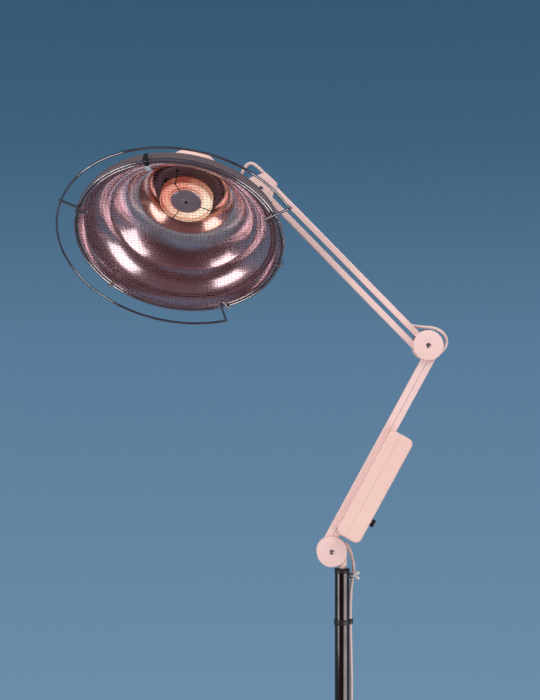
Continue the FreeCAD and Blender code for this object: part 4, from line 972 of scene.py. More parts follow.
# %% [markdown]
# ## The foot
# A pressed steel cover hides the weight. It is one round bowl, upside down, with a rolled edge and a
# low crown where the socket stands. It is turned here from its outline, in more steps than the packed
# solid has, so that its gloss shows no flats.

# %% Foot cover
foot = bmesh.new()
cover_outline = arc_between((200, 6), (192, 27), 3.2, 8) + arc_between((190, 28), (60, 31.2), 1.0, 16)
cover_outline += [(56, 31.7), (53, 32), (30, 32), (30, 30.6), (54, 30.4), (60, 29.6)]
cover_outline += arc_between((188, 25.6), (197, 8), -2.4, 6) + [(197.4, 6)]
add_turned(foot, cover_outline, 160)
finished(foot, "foot_cover", "stand", foot_enamel, IN_MM, ["base_cover"])

# %% [markdown]
# The socket that holds the column is a turned flange with a hollow curve up to its neck. Four screws
# fix it to the cover. They are turned too, in the same piece, with a second material slot.

# %% Socket
SCREW_CIRCLE = 29
socket = bmesh.new()
socket_outline = [(12.6, 30.5), (33, 30.5), (34, 31.6), (34, 34.2), (33.2, 35.2)]
socket_outline += arc_between((28, 36), (18.4, 44), -3.4, 8)
socket_outline += [(17.6, 57.6), (16.8, 59.4), (15.6, 60), (12.6, 60)]
add_turned(socket, socket_outline, 96)
for turn in (45, 135, 225, 315):
    spot = Matrix.Rotation(math.radians(turn), 4, "Z") @ Matrix.Translation((SCREW_CIRCLE, 0, 0))
    add_turned(socket, [(0, 35), (2.6, 35), (2.6, 36.6), (2.1, 37.3), (0, 37.5)], 20, spot, 1)
finished(socket, "column_foot", "stand", [foot_enamel, screw_steel], IN_MM, ["column_socket"])

# %% [markdown]
# The column is one length of plated steel tube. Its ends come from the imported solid, so it fits the
# socket and the collar. The saw's edge at the top is broken by a small chamfer.

# %% Column
TUBE_BORE, TUBE_RADIUS, TUBE_CHAMFER = 10.4, 12.4, 0.3
tube_low, tube_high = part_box("column_tube")
tube_bottom, tube_top = tube_low[2] * 1000, tube_high[2] * 1000
tube = bmesh.new()
add_turned(tube, [(TUBE_BORE, tube_bottom), (TUBE_RADIUS, tube_bottom),
                  (TUBE_RADIUS, tube_top - TUBE_CHAMFER), (TUBE_RADIUS - TUBE_CHAMFER, tube_top),
                  (TUBE_BORE, tube_top)], 96)
finished(tube, "plated_tube", "stand", black_nickel, IN_MM, ["column_tube"])

# %% [markdown]
# ## Collar and wing screw
# The collar is a moulded ring that closes the tube's top. The wing screw beside it holds the height.
# Its wings are cast: rounded, a little thicker at the root, and set at a shallow angle.

# %% Collar and wing screw
collar = bmesh.new()
collar_outline = [(8.6, 943), (12.2, 943), (12.7, 943.6), (12.7, 949.2), (12.2, 950), (8.6, 950)]
add_turned(collar, collar_outline, 72)
finished(collar, "tube_collar", "stand", clip_plastic, IN_MM, ["column_collar"])

WING_SCREW_LEVEL = 938.5
WING_ANGLES = (-34, 34)
wing_screw = bmesh.new()
toward_x = Matrix.Translation((0, 0, WING_SCREW_LEVEL)) @ Matrix.Rotation(math.radians(90), 4, "Y")
head_outline = [(0, 17.9), (3.4, 17.9), (3.8, 18.4), (3.8, 21.9), (3.3, 22.3), (0, 22.3)]
add_turned(wing_screw, head_outline, 32, toward_x)
wing_outline = arc_between((0.4, -1.5), (7.6, -2.7), -0.3, 5)
wing_outline += arc_between((8.9, -2.0), (10.4, 1.4), -0.9, 5)
wing_outline += [(9.6, 2.4)] + arc_between((8.4, 2.7), (0.4, 1.7), -0.3, 5)
for degrees in WING_ANGLES:
    lean = Matrix.Rotation(math.radians(degrees), 4, "Y")
    root = Matrix.Translation((19.6, 0, WING_SCREW_LEVEL)) @ lean
    add_plate(wing_screw, wing_outline, -1.0, 1.0, 0.45, 3, root)
finished(wing_screw, "height_screw", "wing_screw", cast_zinc, IN_MM, ["wing_screw"])

# %% [markdown]
# ## Hub covers and their screws
# Round caps hide the plates of the yoke and the elbow. They are pressed or moulded, slightly domed,
# with a soft edge. A spin of one outline makes each cap.

# %% Caps
YOKE_HUB = (-17.2, 978.5)
ELBOW_HUB = (141.407, 1318.122)
CAP_OUTLINE = [(0, 0), (24.2, 0), (25, 0.5), (25, 1.9)]
CAP_OUTLINE += arc_between((25, 1.9), (23.6, 3.0), -0.3, 5)[1:]
CAP_OUTLINE += [(16, 3.16), (7, 3.2), (5.2, 2.7), (4.2, 2.6), (0, 2.6)]


def facing(hub, y, front):
    """A place in millimetres over a hub's x and z, whose z axis points to the front or to the back."""
    turn = Matrix.Rotation(math.radians(90 if front else -90), 4, "X")
    return Matrix.Translation((hub[0], y, hub[1])) @ turn


def add_cap(name, body, place, node):
    builder = bmesh.new()
    add_turned(builder, CAP_OUTLINE, 96)
    finished(builder, name, body, arm_paint, IN_MM @ place, [node])


add_cap("yoke_front_cap", "yoke", facing(YOKE_HUB, -8.9, True), "yoke_front_cover")
add_cap("yoke_back_cap", "yoke", facing(YOKE_HUB, 8.9, False), "yoke_back_cover")
add_cap("elbow_front_cap", "elbow", facing(ELBOW_HUB, -8.9, True), "elbow_front_cover")
add_cap("elbow_back_cap", "elbow", facing(ELBOW_HUB, 23.9, False), "elbow_back_cover")

# %% [markdown]
# A cross-slot screw sits in the middle of each cap. Cutting the slots with a boolean would be fragile,
# so they are what is left free between four rounded blocks, which stand in a hollow head.

# %% Screws
SCREW_RADIUS, SCREW_HEIGHT = 3.9, 1.6
SCREW_HEAD = [(0, 0), (SCREW_RADIUS, 0), (SCREW_RADIUS, SCREW_HEIGHT * 0.35),
              (SCREW_RADIUS * 0.86, SCREW_HEIGHT * 0.72), (SCREW_RADIUS * 0.62, SCREW_HEIGHT * 0.92),
              (SCREW_RADIUS * 0.6, SCREW_HEIGHT * 0.2), (0, SCREW_HEIGHT * 0.2)]
QUARTER_LOW = (0.32, 0.32, SCREW_HEIGHT * 0.15)
QUARTER_HIGH = (SCREW_RADIUS * 0.46, SCREW_RADIUS * 0.46, SCREW_HEIGHT)
SLOT_DEGREES = 20
BRACKET_SCREW = (-133.978, 1577.664)


def add_screws(name, body, places, node):
    builder = bmesh.new()
    for place in places:
        add_turned(builder, SCREW_HEAD, 32, place)
        for quarter in range(4):
            turn = place @ Matrix.Rotation(math.radians(90 * quarter + SLOT_DEGREES), 4, "Z")
            add_block(builder, QUARTER_LOW, QUARTER_HIGH, 0.16, 2, turn)
    finished(builder, name, body, screw_steel, IN_MM, [node])


add_screws("yoke_cap_screws", "yoke",
           [facing(YOKE_HUB, -11.6, True), facing(YOKE_HUB, 11.6, False)], "yoke_screws")
add_screws("elbow_cap_screws", "elbow",
           [facing(ELBOW_HUB, -11.6, True), facing(ELBOW_HUB, 26.6, False)], "elbow_screws")
add_screws("bracket_cap_screw", "head_bracket", [facing(BRACKET_SCREW, 6.1, True)], "bracket_screw")

# %% [markdown]
# ## Rails
# Each arm is two channels rolled from sheet steel, so their outer corners are round and catch a long
# highlight. A channel's section is the same all along it. The section is drawn once and repeated
# along the rail, and it narrows round the pivot at each end.

# %% Section of a rail
RAIL_SHEET = 1.2
RAIL_HALF_DEPTH = 6.0
RAIL_BEND = 2.3
QUARTER_ARC_BULGE = 0.293


def channel_section(width, opening):
    """The section in y and z of a sheet bent into a channel. It opens towards +z where opening is 1."""
    half, deep, bend = width / 2, RAIL_HALF_DEPTH, RAIL_BEND
    bulge = -bend * QUARTER_ARC_BULGE
    line = [(-deep, half)] + arc_between((-deep, bend - half), (bend - deep, -half), bulge, 5)
    line += arc_between((deep - bend, -half), (deep, bend - half), bulge, 5) + [(deep, half)]
    bend -= RAIL_SHEET
    deep -= RAIL_SHEET
    floor = RAIL_SHEET - half
    bulge = bend * QUARTER_ARC_BULGE
    line += [(deep, half)] + arc_between((deep, floor + bend), (deep - bend, floor), bulge, 4)
    line += arc_between((bend - deep, floor), (-deep, floor + bend), bulge, 4) + [(-deep, half)]
    return [(y, z * opening) for y, z in line]


print("points round a rail's section:", len(channel_section(10, 1)))

# %% [markdown]
# Each rail is a row of such sections. Round its end pivots the section narrows along a half circle.
# The two arms differ by a tenth of a millimetre in width, and a link rail opens the other way.

# %% Rails of the arms
RAIL_PARTS = 24
LOWER_WIDTH, UPPER_WIDTH = 10.2, 10.1


def add_rail(name, body, width, start, end, opening, place, node):
    length = (end - start).length * 1000
    section = channel_section(width, opening)
    builder = bmesh.new()
    stations = [(-width / 2 * math.cos(math.radians(turn)), math.sin(math.radians(turn)))
                for turn in range(15, 90, 15)]
    stations += [(length * index / RAIL_PARTS, 1.0) for index in range(RAIL_PARTS + 1)]
    stations += [(length + width / 2 * math.cos(math.radians(turn)), math.sin(math.radians(turn)))
                 for turn in range(75, 0, -15)]
    rings = [[builder.verts.new((x, y, z * narrow)) for y, z in section] for x, narrow in stations]
    for near, far in zip(rings, rings[1:]):
        for index in range(len(section)):
            after = (index + 1) % len(section)
            builder.faces.new((near[index], near[after], far[after], far[index]))
    builder.faces.new(rings[0])
    builder.faces.new(rings[-1])
    finished(builder, name, body, rail_paint, place, [node], 30)


add_rail("lower_main_channel", "lower_main_arm", LOWER_WIDTH, *lower_ends, 1,
         lower_arm, "lower_main_rail")
add_rail("lower_link_channel", "lower_link_arm", LOWER_WIDTH, *lower_ends, -1,
         lower_link, "lower_link_rail")
add_rail("upper_main_channel", "upper_main_arm", UPPER_WIDTH, *upper_ends, 1,
         upper_arm, "upper_main_rail")
add_rail("upper_link_channel", "upper_link_arm", UPPER_WIDTH, *upper_ends, -1,
         upper_link, "upper_link_rail")

# %% [markdown]
# ## Springs
# A tension spring in the link rail of each arm carries the head's weight. It is wound wire, so it is a
# helix with a straight end on each side. A helix is a tube along a path, and its turns nearly touch.

# %% Arm springs
SPRING_START, SPRING_LENGTH = 60.0, 170.0
SPRING_RADIUS, SPRING_WIRE = 2.75, 0.42
SPRING_TURNS, STEPS_PER_TURN = 150, 12


def add_spring(name, body, lift, place, node):
    builder = bmesh.new()
    end = SPRING_START + SPRING_LENGTH
    level = lift + SPRING_RADIUS * 0.8
    path = [(SPRING_START - 8, 0, level), (SPRING_START - 2, 0, level)]
    steps = SPRING_TURNS * STEPS_PER_TURN
    for index in range(steps + 1):
        angle = math.pi / 2 + 2 * math.pi * index / STEPS_PER_TURN
        x = SPRING_START + SPRING_LENGTH * index / steps
        path.append((x, SPRING_RADIUS * math.cos(angle), lift + SPRING_RADIUS * math.sin(angle)))
    path += [(end + 2, 0, level), (end + 6, 0, level)]
    add_tube(builder, path, SPRING_WIRE, 5)
    finished(builder, name, body, spring_steel, place, [node])


add_spring("lower_spring", "lower_link_arm", 0.4, lower_link, "lower_arm_spring")
add_spring("upper_spring", "upper_link_arm", 0.35, upper_link, "upper_arm_spring")

# %% [markdown]
# ## Case details
# The case on the lower arm holds the timer. Its knob is turned by hand, so it has flutes and a pointer
# line. The flutes are one cosine wave added to a circle, which is then thickened like a plate.

# %% Knob
CASE_FACE = -37.3
KNOB_CENTRE = (90, -15, CASE_FACE)
KNOB_RADIUS, FLUTE_DEPTH, FLUTES, STEPS_PER_FLUTE = 6.4, 0.28, 18, 6
half_turn = Matrix.Rotation(math.radians(180), 4, "X")
turn_to_face = lower_arm @ Matrix.Translation(KNOB_CENTRE) @ half_turn
knob_outline = []
for index in range(FLUTES * STEPS_PER_FLUTE):
    angle = 2 * math.pi * index / (FLUTES * STEPS_PER_FLUTE)
    radius = KNOB_RADIUS - FLUTE_DEPTH * (0.5 + 0.5 * math.cos(FLUTES * angle)) ** 2
    knob_outline.append((radius * math.cos(angle), radius * math.sin(angle)))
knob = bmesh.new()
add_plate(knob, knob_outline, 1.2, 7.6, 0.35, 2, Matrix.Rotation(math.radians(90), 4, "X"))
add_turned(knob, [(0, 0.5), (6.9, 0.5), (7.1, 0.8), (7.0, 1.3), (6.2, 1.6), (0, 1.6)], 72)
add_block(knob, (-0.35, 0.6, 7.5), (0.35, 5.9, 7.85), 0.1, 1, Matrix(), 1)
finished(knob, "timer_dial_knob", "timer_knob", [clip_plastic, soft_grip], turn_to_face, ["control_knob"])

# %% [markdown]
# The scale round the knob would be printed on the case. Here each mark is a very thin raised piece, so
# that it stays sharp close up. It covers thirty minutes, with a longer mark at every fifth.

# %% Timer scale
SCALE_MINUTES, SCALE_TURN, SCALE_START = 30, 300, 240
MARK_INNER, MARK_OUTER, LONG_MARK_OUTER = 8.1, 8.9, 9.6
MARK_HALF_WIDTH, MARK_SUNK, MARK_RAISED = 0.1, 0.02, 0.1


def scale_angle(minute):
    return math.radians(SCALE_TURN * minute / SCALE_MINUTES - SCALE_START)


scale_marks = bmesh.new()
for minute in range(SCALE_MINUTES + 1):
    outer = MARK_OUTER if minute % 5 else LONG_MARK_OUTER
    add_block(scale_marks, (MARK_INNER, -MARK_HALF_WIDTH, MARK_SUNK),
              (outer, MARK_HALF_WIDTH, MARK_RAISED), 0.02, 1, Matrix.Rotation(scale_angle(minute), 4, "Z"))
finished(scale_marks, "timer_scale", "lower_main_arm", grey_nylon, turn_to_face)

# %% [markdown]
# A number stands at every fifth minute. Numbers could be drawn by hand, but a text object already
# holds a clean outline. It is given a little thickness and turned into a mesh.

# %% Timer numbers
NUMBER_CIRCLE, NUMBER_LEVEL, NUMBER_SIZE, NUMBER_THICKNESS = 11.7, 0.06, 3.0, 0.04
for minute in range(0, SCALE_MINUTES + 1, 5):
    letters = bpy.data.curves.new("timer_number", "FONT")
    letters.body = str(minute)
    letters.size = NUMBER_SIZE
    letters.extrude = NUMBER_THICKNESS
    letters.align_x = "CENTER"
    letters.align_y = "CENTER"
    shape = bpy.data.objects.new("timer_number", letters)
    bpy.context.scene.collection.objects.link(shape)
    bpy.context.view_layer.update()
    raised = bmesh.new()
    raised.from_mesh(bpy.data.meshes.new_from_object(shape))
    bpy.data.objects.remove(shape)
    angle = scale_angle(minute)
    spot = turn_to_face @ Matrix.Translation((
        NUMBER_CIRCLE * math.cos(angle), NUMBER_CIRCLE * math.sin(angle), NUMBER_LEVEL))
    finished(raised, "timer_number_%02d" % minute, "lower_main_arm", grey_nylon, spot)

# %% [markdown]
# A small amber lens in a black ring shows that the lamp is on. Both are turned from outlines, with the
# lens as its own material slot.

# %% Indicator
spot = lower_arm @ Matrix.Translation((195.5, -15, CASE_FACE)) @ half_turn
lens_outline = [(0, 0.4), (1.7, 0.4), (1.7, 1.3)] + arc_between((1.6, 1.4), (0, 2.1), -0.25, 6)
indicator = bmesh.new()
add_turned(indicator, [(0, 0), (2.6, 0), (2.6, 1.0), (2.2, 1.4), (1.7, 1.2)], 32)
add_turned(indicator, lens_outline, 32, Matrix(), 1)
finished(indicator, "power_light", "lower_main_arm", [clip_plastic, amber_lens], spot, ["indicator_lamp"])

# %% [markdown]
# ## The dish
# Spinning forms a sheet over a turning mould, so the dish is a stack of rounded zones with a sharp
# ridge between each two. Each zone is one arc, given by its ends as radius and depth from the mouth,
# and by how far it bows out.

# %% Inner face of the dish
ZONES = [
    ((164.6, 0.4), (157.0, 14.4), -0.5),
    ((155.8, 15.0), (149.6, 15.6), 0.3),
    ((146.5, 15.5), (119, 42), 2.7),
    ((116, 43.5), (81, 89), 3.0),
    ((78, 90.5), (55.5, 110), 1.5),
]
inner_line = []
for start, end, bulge in ZONES:
    inner_line += arc_between(start, end, bulge, 12)
print("points along the inner face:", len(inner_line))

# %% [markdown]
# One closed outline holds the inner face, a flat plate behind the heater, the outer face and a skirt
# behind the mouth. It is spun with many steps, because a mirror-like surface shows every flat. The
# polished inside, the dull outside and the plate each get a material slot of their own.

# %% Dish
DISH_SHEET = 0.85
DISH_STEPS = 216
INSIDE, OUTSIDE, PLATE = 0, 1, 2
PLATE_SIDES = 4
outer_line = [(radius + DISH_SHEET, depth + DISH_SHEET) for radius, depth in reversed(inner_line[1:])]
bead = arc_between((55.5, 110), (53.7, 110.6), -0.9, 6)[1:]
back_face = bead + [(53.4, 112.4), (30, 113), (5.3, 113), (5.3, 114.1), (54.4, 114.1)]
skirt = [(167.0, 1.6), (169.6, 3.4), (163.6, 19.4), (164.1, 19.9),
         (164.9, 19.4), (170.6, 3.4), (170.0, 1.8), (167.6, 0.2)]
dish_outline = inner_line + back_face + outer_line + skirt
inside_sides = len(inner_line) + len(bead) - 1
outside_sides = len(dish_outline) - inside_sides - PLATE_SIDES
dish_slots = [INSIDE] * inside_sides + [PLATE] * PLATE_SIDES + [OUTSIDE] * outside_sides
dish = bmesh.new()
add_turned(dish, dish_outline, DISH_STEPS, Matrix(), dish_slots)
finished(dish, "spun_dish", "head", [dish_inside, dish_outside, plate_metal], HEAD_MM, ["reflector"], 24)

# %% [markdown]
# ## Rim and mesh
# A round wire closes the mouth, and inside it a second ring carries the mesh. Both are plain rings of
# round wire, so each is a tube along a closed circle.

# %% Rim rings
RIM_STEPS = 180
MESH_LEVEL = -1.65
rims = bmesh.new()
add_tube(rims, circle_path(168.5, -2.05, RIM_STEPS), 2.0, 14, True)
add_tube(rims, circle_path(163.5, MESH_LEVEL, RIM_STEPS), 1.6, 12, True)
finished(rims, "rim_wires", "head", rim_steel, HEAD_MM, ["rim_ring"])

# %% [markdown]
# Each wire of the mesh is a wave whose crests fall between the crests of its neighbours, which is how
# a weave holds together. The wires end on the ring, so each one's length comes from the circle. Very
# few sides are enough for a wire that is half a millimetre thick.

# %% Woven mesh
PITCH = 6.0
WAVE_HEIGHT = 0.47
MESH_WIRE = 0.24
MESH_REACH = 161.8
END_GAP = 0.4


def add_mesh_wire(builder, row, turned):
    """One wire of the weave. Those that are turned run across the others."""
    offset = row * PITCH
    half = math.sqrt(MESH_REACH ** 2 - offset ** 2) - END_GAP
    last = int(half / PITCH)
    path = [(-half, offset, MESH_LEVEL)]
    for column in range(-last, last + 1):
        sign = 1 if (column + row) % 2 else -1
        path.append((column * PITCH, offset, MESH_LEVEL + (sign if turned else -sign) * WAVE_HEIGHT))
    path.append((half, offset, MESH_LEVEL))
    if turned:
        path = [(y, x, z) for x, y, z in path]
    add_tube(builder, path, MESH_WIRE, 4)


weave = bmesh.new()
rows = int(MESH_REACH / PITCH)
for row in range(-rows, rows + 1):
    add_mesh_wire(weave, row, False)
    add_mesh_wire(weave, row, True)
finished(weave, "woven_mesh", "head", mesh_steel, HEAD_MM, ["mesh_grille"], 80)

# %% [markdown]
# ## Clips
# Three clips hold the mesh against the rim, each with one screw. Two are narrow strips of bright
# steel. The third is a wide black one with a soft pad. A punched and bent strip is one flat outline
# seen from its side, so the plate helper is enough for it.

# %% Clips
BLACK_STRIP, SOFT_PAD, SCREW, BRIGHT_STRIP = 0, 1, 2, 3
STRIP = [(159.5, -5.5), (173.0, -5.5), (174.4, -4.1), (174.4, 9.4),
         (173.2, 9.4), (173.2, -3.9), (172.6, -4.3), (159.5, -4.3)]
PAD = [(150.0, -3.4), (150.6, -5.2), (152.4, -6.2), (160.4, -6.2), (161.6, -5.4), (161.6, -3.4)]
BUTTON = [(0, 0), (2.0, 0), (2.0, 0.5), (1.5, 1.0), (0, 1.2)]
clips = bmesh.new()
for degrees, half_width, wide in ((15, 2.2, False), (135, 2.2, False), (255, 3.5, True)):
    turn = Matrix.Rotation(math.radians(degrees), 4, "Z")
    strip_slot = BLACK_STRIP if wide else BRIGHT_STRIP
    add_plate(clips, STRIP, -half_width, half_width, 0.25, 2, turn, strip_slot)
    add_turned(clips, BUTTON, 24, turn @ Matrix.Translation((171.6, 0, -5.4)) @ half_turn, SCREW)
    if wide:
        add_plate(clips, PAD, -4.2, 4.2, 0.8, 3, turn, SOFT_PAD)
clip_finishes = [clip_plastic, pad_rubber, screw_steel, bright_steel]
finished(clips, "rim_clips", "head", clip_finishes, HEAD_MM, ["mesh_clips"])

# %% [markdown]
# ## Guard
# The guard keeps curtains and hands away from the hot mouth. It is one long wire that runs three
# quarters of the way round, turns inwards at both ends and stops in a small hook below the rim. A
# short wire of the same kind holds it in the middle. Bent wire always has a radius at its corners, so
# the corners are rounded first and the tube is drawn along the result.

# %% Guard wire
GUARD_RADIUS, GUARD_LEVEL, GUARD_WIRE = 201.2, -6.2, 2.0
GUARD_INNER, GUARD_HOOK, HOOK_LENGTH = 148.5, 12.5, 22
GUARD_START, GUARD_END, GUARD_POST = 67, 335, 201
GUARD_BEND, BEND_STEPS = 4.8, 7


def on_guard(reach, degrees, side=0.0):
    angle = math.radians(degrees)
    return Vector((reach * math.cos(angle) - side * math.sin(angle),
                   reach * math.sin(angle) + side * math.cos(angle), GUARD_LEVEL))


def hook_points(degrees, side):
    """Three corners of a hook, which bends off to one side."""
    return [on_guard(GUARD_INNER + HOOK_LENGTH, degrees, side * GUARD_HOOK),
            on_guard(GUARD_INNER, degrees, side * GUARD_HOOK),
            on_guard(GUARD_INNER, degrees)]


hoop = hook_points(GUARD_START, -1)
hoop += [on_guard(GUARD_RADIUS, degrees) for degrees in range(GUARD_START, GUARD_END, 3)]
hoop += [on_guard(GUARD_RADIUS, GUARD_END)] + hook_points(GUARD_END, 1)[::-1]
post = hook_points(GUARD_POST, -1) + [on_guard(GUARD_RADIUS, GUARD_POST)]
guard = bmesh.new()
add_tube(guard, rounded_path(hoop, GUARD_BEND, BEND_STEPS), GUARD_WIRE, 14)
add_tube(guard, rounded_path(post, GUARD_BEND, BEND_STEPS), GUARD_WIRE, 14)
finished(guard, "guard_hoop", "head", hoop_chrome, HEAD_MM, ["guard_wire"], 60)

# %% [markdown]
# ## Heater
# The ring is a ceramic trough, pressed and fired, and held by three wires. Its faces glow brightest.
# Its walls glow less and redder, which is painted shade in the trough's channel. Its back is nearly
# dull. Each of these is a material slot.

# %% Heater ring
FACE, WALL, BACK = 0, 1, 2
trough_outline = [(25.6, 85.0), (26.2, 84.2), (27.4, 84.2), (28.1, 85.0),
                  (28.1, 94.5), (29.2, 95.5), (40.0, 95.5), (41.1, 94.5),
                  (41.1, 83.0), (41.8, 82.1), (42.9, 82.1), (43.6, 83.0),
                  (43.6, 97.2), (42.8, 98.0), (26.4, 98.0), (25.6, 97.2)]
trough_slots = [WALL, FACE, FACE] + [WALL] * 6 + [FACE, FACE, WALL, BACK, BACK, BACK, WALL]
ceramic = bmesh.new()
add_turned(ceramic, trough_outline, 120, Matrix(), trough_slots)
finished(ceramic, "glowing_trough", "head", [hot_face, hot_wall_in_painted_shade, dull_back], HEAD_MM, ["heater_ring"])

# %% [markdown]
# A coil of resistance wire lies in the trough. It is a flattened helix bent into a ring, and its turns
# are what makes the glow look alive up close.

# %% Heater coil
HEATER_TURNS, STEPS_PER_WRAP = 96, 12
HEATER_RADIUS, HEATER_LEVEL = 34.55, 89.2
WRAP_HALF_WIDTH, WRAP_HALF_HEIGHT, HEATER_WIRE = 5.4, 4.6, 0.75
coil_path = []
for index in range(HEATER_TURNS * STEPS_PER_WRAP):
    around = 2 * math.pi * index / (HEATER_TURNS * STEPS_PER_WRAP)
    wrap = 2 * math.pi * index / STEPS_PER_WRAP
    radius = HEATER_RADIUS + WRAP_HALF_WIDTH * math.cos(wrap)
    coil_path.append((radius * math.cos(around), radius * math.sin(around),
                      HEATER_LEVEL + WRAP_HALF_HEIGHT * math.sin(wrap)))
coil = bmesh.new()
add_tube(coil, coil_path, HEATER_WIRE, 6, True)
finished(coil, "glowing_coil", "head", hot_wire, HEAD_MM, ["heater_coil"], 80)

# %% [markdown]
# Three bent wires carry the ring from behind. Each crosses in front of it and dips into its middle.
# A bead sits at the outer bend, and a nut holds the wire at the plate. Heat has burnt them all dark.

# %% Supports
SUPPORT_ANGLES = (-111, 20, 122)
SUPPORT_CORNERS = [(44.9, 0, 112.9), (44.9, 0, 80.7), (24.1, 0, 80.7), (24.1, 0, 84.0)]
BEAD = [(0, 78.9), (1.6, 79.4), (2.1, 80.7), (1.6, 82.0), (0, 82.5)]
NUT = [(1.1, 110.6), (2.8, 110.6), (2.8, 112.9), (1.1, 112.9)]
supports = bmesh.new()
for degrees in SUPPORT_ANGLES:
    turn = Matrix.Rotation(math.radians(degrees), 4, "Z")
    on_wire = turn @ Matrix.Translation((44.9, 0, 0))
    add_tube(supports, [turn @ point for point in rounded_path(SUPPORT_CORNERS, 2.4, 5)], 0.8, 10)
    add_turned(supports, BEAD, 14, on_wire)
    add_turned(supports, NUT, 6, on_wire)
finished(supports, "ring_supports", "head", burnt_steel, HEAD_MM, ["heater_supports"], 60)

# %% [markdown]
# A pressed cap on a post closes the ring's middle and mirrors the room faintly. Both are turned as one
# outline. The screw in its middle gets the second material slot.

# %% Centre cap
disc_outline = [(0, 83.0), (8.4, 83.0), (9.0, 83.4), (12, 83.4)]
disc_outline += arc_between((13, 83.3), (24.0, 83.8), -0.3, 6)
disc_outline += [(24.9, 84.6), (24.8, 86.0), (22, 87.1), (5, 87.1), (5, 118.2), (0, 118.2)]
cap_screw = [(0, 0), (2.6, 0), (2.6, 0.9), (2.0, 1.4), (1.0, 1.5), (0, 1.5)]
disc = bmesh.new()
add_turned(disc, disc_outline, 96)
add_turned(disc, cap_screw, 28, Matrix.Translation((0, 0, 83.1)) @ half_turn, 1)
finished(disc, "centre_cap", "head", [cap_metal, burnt_steel], HEAD_MM, ["centre_disc"])

# %% [markdown]
# ## Back housing
# Behind the dish a moulded cup covers the wiring. It has cooling slots, a shallow step and a lug for
# the swing pin. The cup is turned. Slots cut through it would show nothing but the shade inside, so
# they are black inlays, nearly flush with its faces, that paint that shade.

# %% Housing
SIDE_SLOTS, SIDE_SLOTS_FROM, SIDE_SLOTS_TURN = 28, 20, 320
BACK_SLOTS = 16
cup = [(5.3, 114.3), (43.2, 114.3), (44, 115.2), (44, 121.4), (43.3, 122.1), (43.3, 123.3)]
cup += [(44, 124.0), (44, 161.6)] + arc_between((44, 162.0), (40.2, 166.0), -1.3, 8)
cup += [(22, 166.15), (21.4, 165.6), (20.4, 165.6), (19.8, 166.15), (0, 166.2), (0, 164), (5.3, 164)]
housing = bmesh.new()
add_turned(housing, cup, 120)
# The black inlays are painted shade that stands for open slots.
for index in range(SIDE_SLOTS):
    degrees = SIDE_SLOTS_FROM + index * SIDE_SLOTS_TURN / (SIDE_SLOTS - 1)
    turn = Matrix.Rotation(math.radians(degrees), 4, "Z")
    add_block(housing, (43.3, -1.0, 128), (44.12, 1.0, 144), 0.35, 2, turn, 1)
for index in range(BACK_SLOTS):
    turn = Matrix.Rotation(math.radians(index * 360 / BACK_SLOTS), 4, "Z")
    add_block(housing, (25.0, -1.1, 165.5), (35.5, 1.1, 166.3), 0.35, 2, turn, 1)
lug = arc_between((58, 123.5), (58, 140.5), -8.4, 14) + [(43, 140.5), (43, 123.5)]
add_plate(housing, lug, -4, 4, 0.7, 3)
boss = Matrix.Translation((0, 0, 149.6)) @ Matrix.Rotation(math.radians(90), 4, "Y")
boss_outline = [(2.7, 42.8), (4.9, 42.8), (4.5, 43.8), (4.2, 44.6), (4.1, 48.4), (3.6, 49), (2.7, 49)]
add_turned(housing, boss_outline, 32, boss)
finished(housing, "rear_cup", "head", [case_plastic, clip_plastic], HEAD_MM, ["back_housing"])

# %% [markdown]
# ## Cables across the joints
# Leads cross three of the moving places: the swivel, the elbow and the head. A lead there must bend.
# Each lead here is one tube along a line that comes from a spline too, laid in the world on no body.

# %% Cable across the swivel
CORD_SIDES = 14


def across(name, path, body_a, body_b, start, end, node):
    """A cord along a path, laid in the world on no body. The two bodies, the start and the end are not
    used.
    """
    builder = bmesh.new()
    add_tube(builder, path, CORD_RADIUS, CORD_SIDES)
    piece = finished(builder, name, None, lead_rubber, Matrix(), [node], 60)
    tuple(start)
    tuple(end)
    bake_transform(piece)
    return piece


SWIVEL_START, SWIVEL_END = (0.0168, 0.0106, 0.966), (0.0149, 0.0085, 0.910)
swivel_path = points_along(SWIVEL_ROUTE)
swivel_cable = across("swivel_lead", swivel_path, "yoke", "stand", SWIVEL_START, SWIVEL_END,
                      "cord_swivel_span")
tuple(swivel_path[0])
round(length_of(swivel_path), 3)

# %% [markdown]
# Where a cord leaves a moving part, a rubber sleeve keeps it from kinking. It is widest at the gland,
# gets thinner outwards and has ribs that let it bend. The tube helper takes one radius for each point,
# so the ribs come from a repeating step in that radius.

# %% Tapered relief at the gland
GLAND = Vector((0.0048, 0.0106, 0.9912))
GLAND_POINTS = 12
RELIEF_REACH = 0.013
RELIEF_RADIUS, RELIEF_TAPER = 4.1 * MM, 1.2 * MM
RIB_HEIGHT, RIB_PITCH, RIB_WIDTH = 0.25 * MM, 3.0, 1.6
relief_path = [GLAND.lerp(swivel_path[0], index / GLAND_POINTS) for index in range(GLAND_POINTS)]
reach = 0.0
for before, after in zip(swivel_path, swivel_path[1:]):
    if reach > RELIEF_REACH:
        break
    relief_path.append(before)
    reach += (after - before).length
relief_length = length_of(relief_path)
so_far, relief_radii = 0.0, []
for index, point in enumerate(relief_path):
    if index:
        so_far += (point - relief_path[index - 1]).length
    rib = RIB_HEIGHT if (so_far * 1000) % RIB_PITCH < RIB_WIDTH else 0.0
    relief_radii.append(RELIEF_RADIUS - RELIEF_TAPER * so_far / relief_length + rib)
relief = bmesh.new()
add_tube(relief, relief_path, relief_radii, 20)
finished(relief, "tapered_relief", "yoke", soft_grip, Matrix(), ["cord_gland"], 50)
print("relief in millimetres:", round(relief_length * 1000, 1))

# %% [markdown]
# The lead leaves the upper arm, loops round behind the elbow cap and enters the lower arm. The elbow
# turns against both arms, so the loop is made in two halves that meet behind the cap, one for each
# joint.

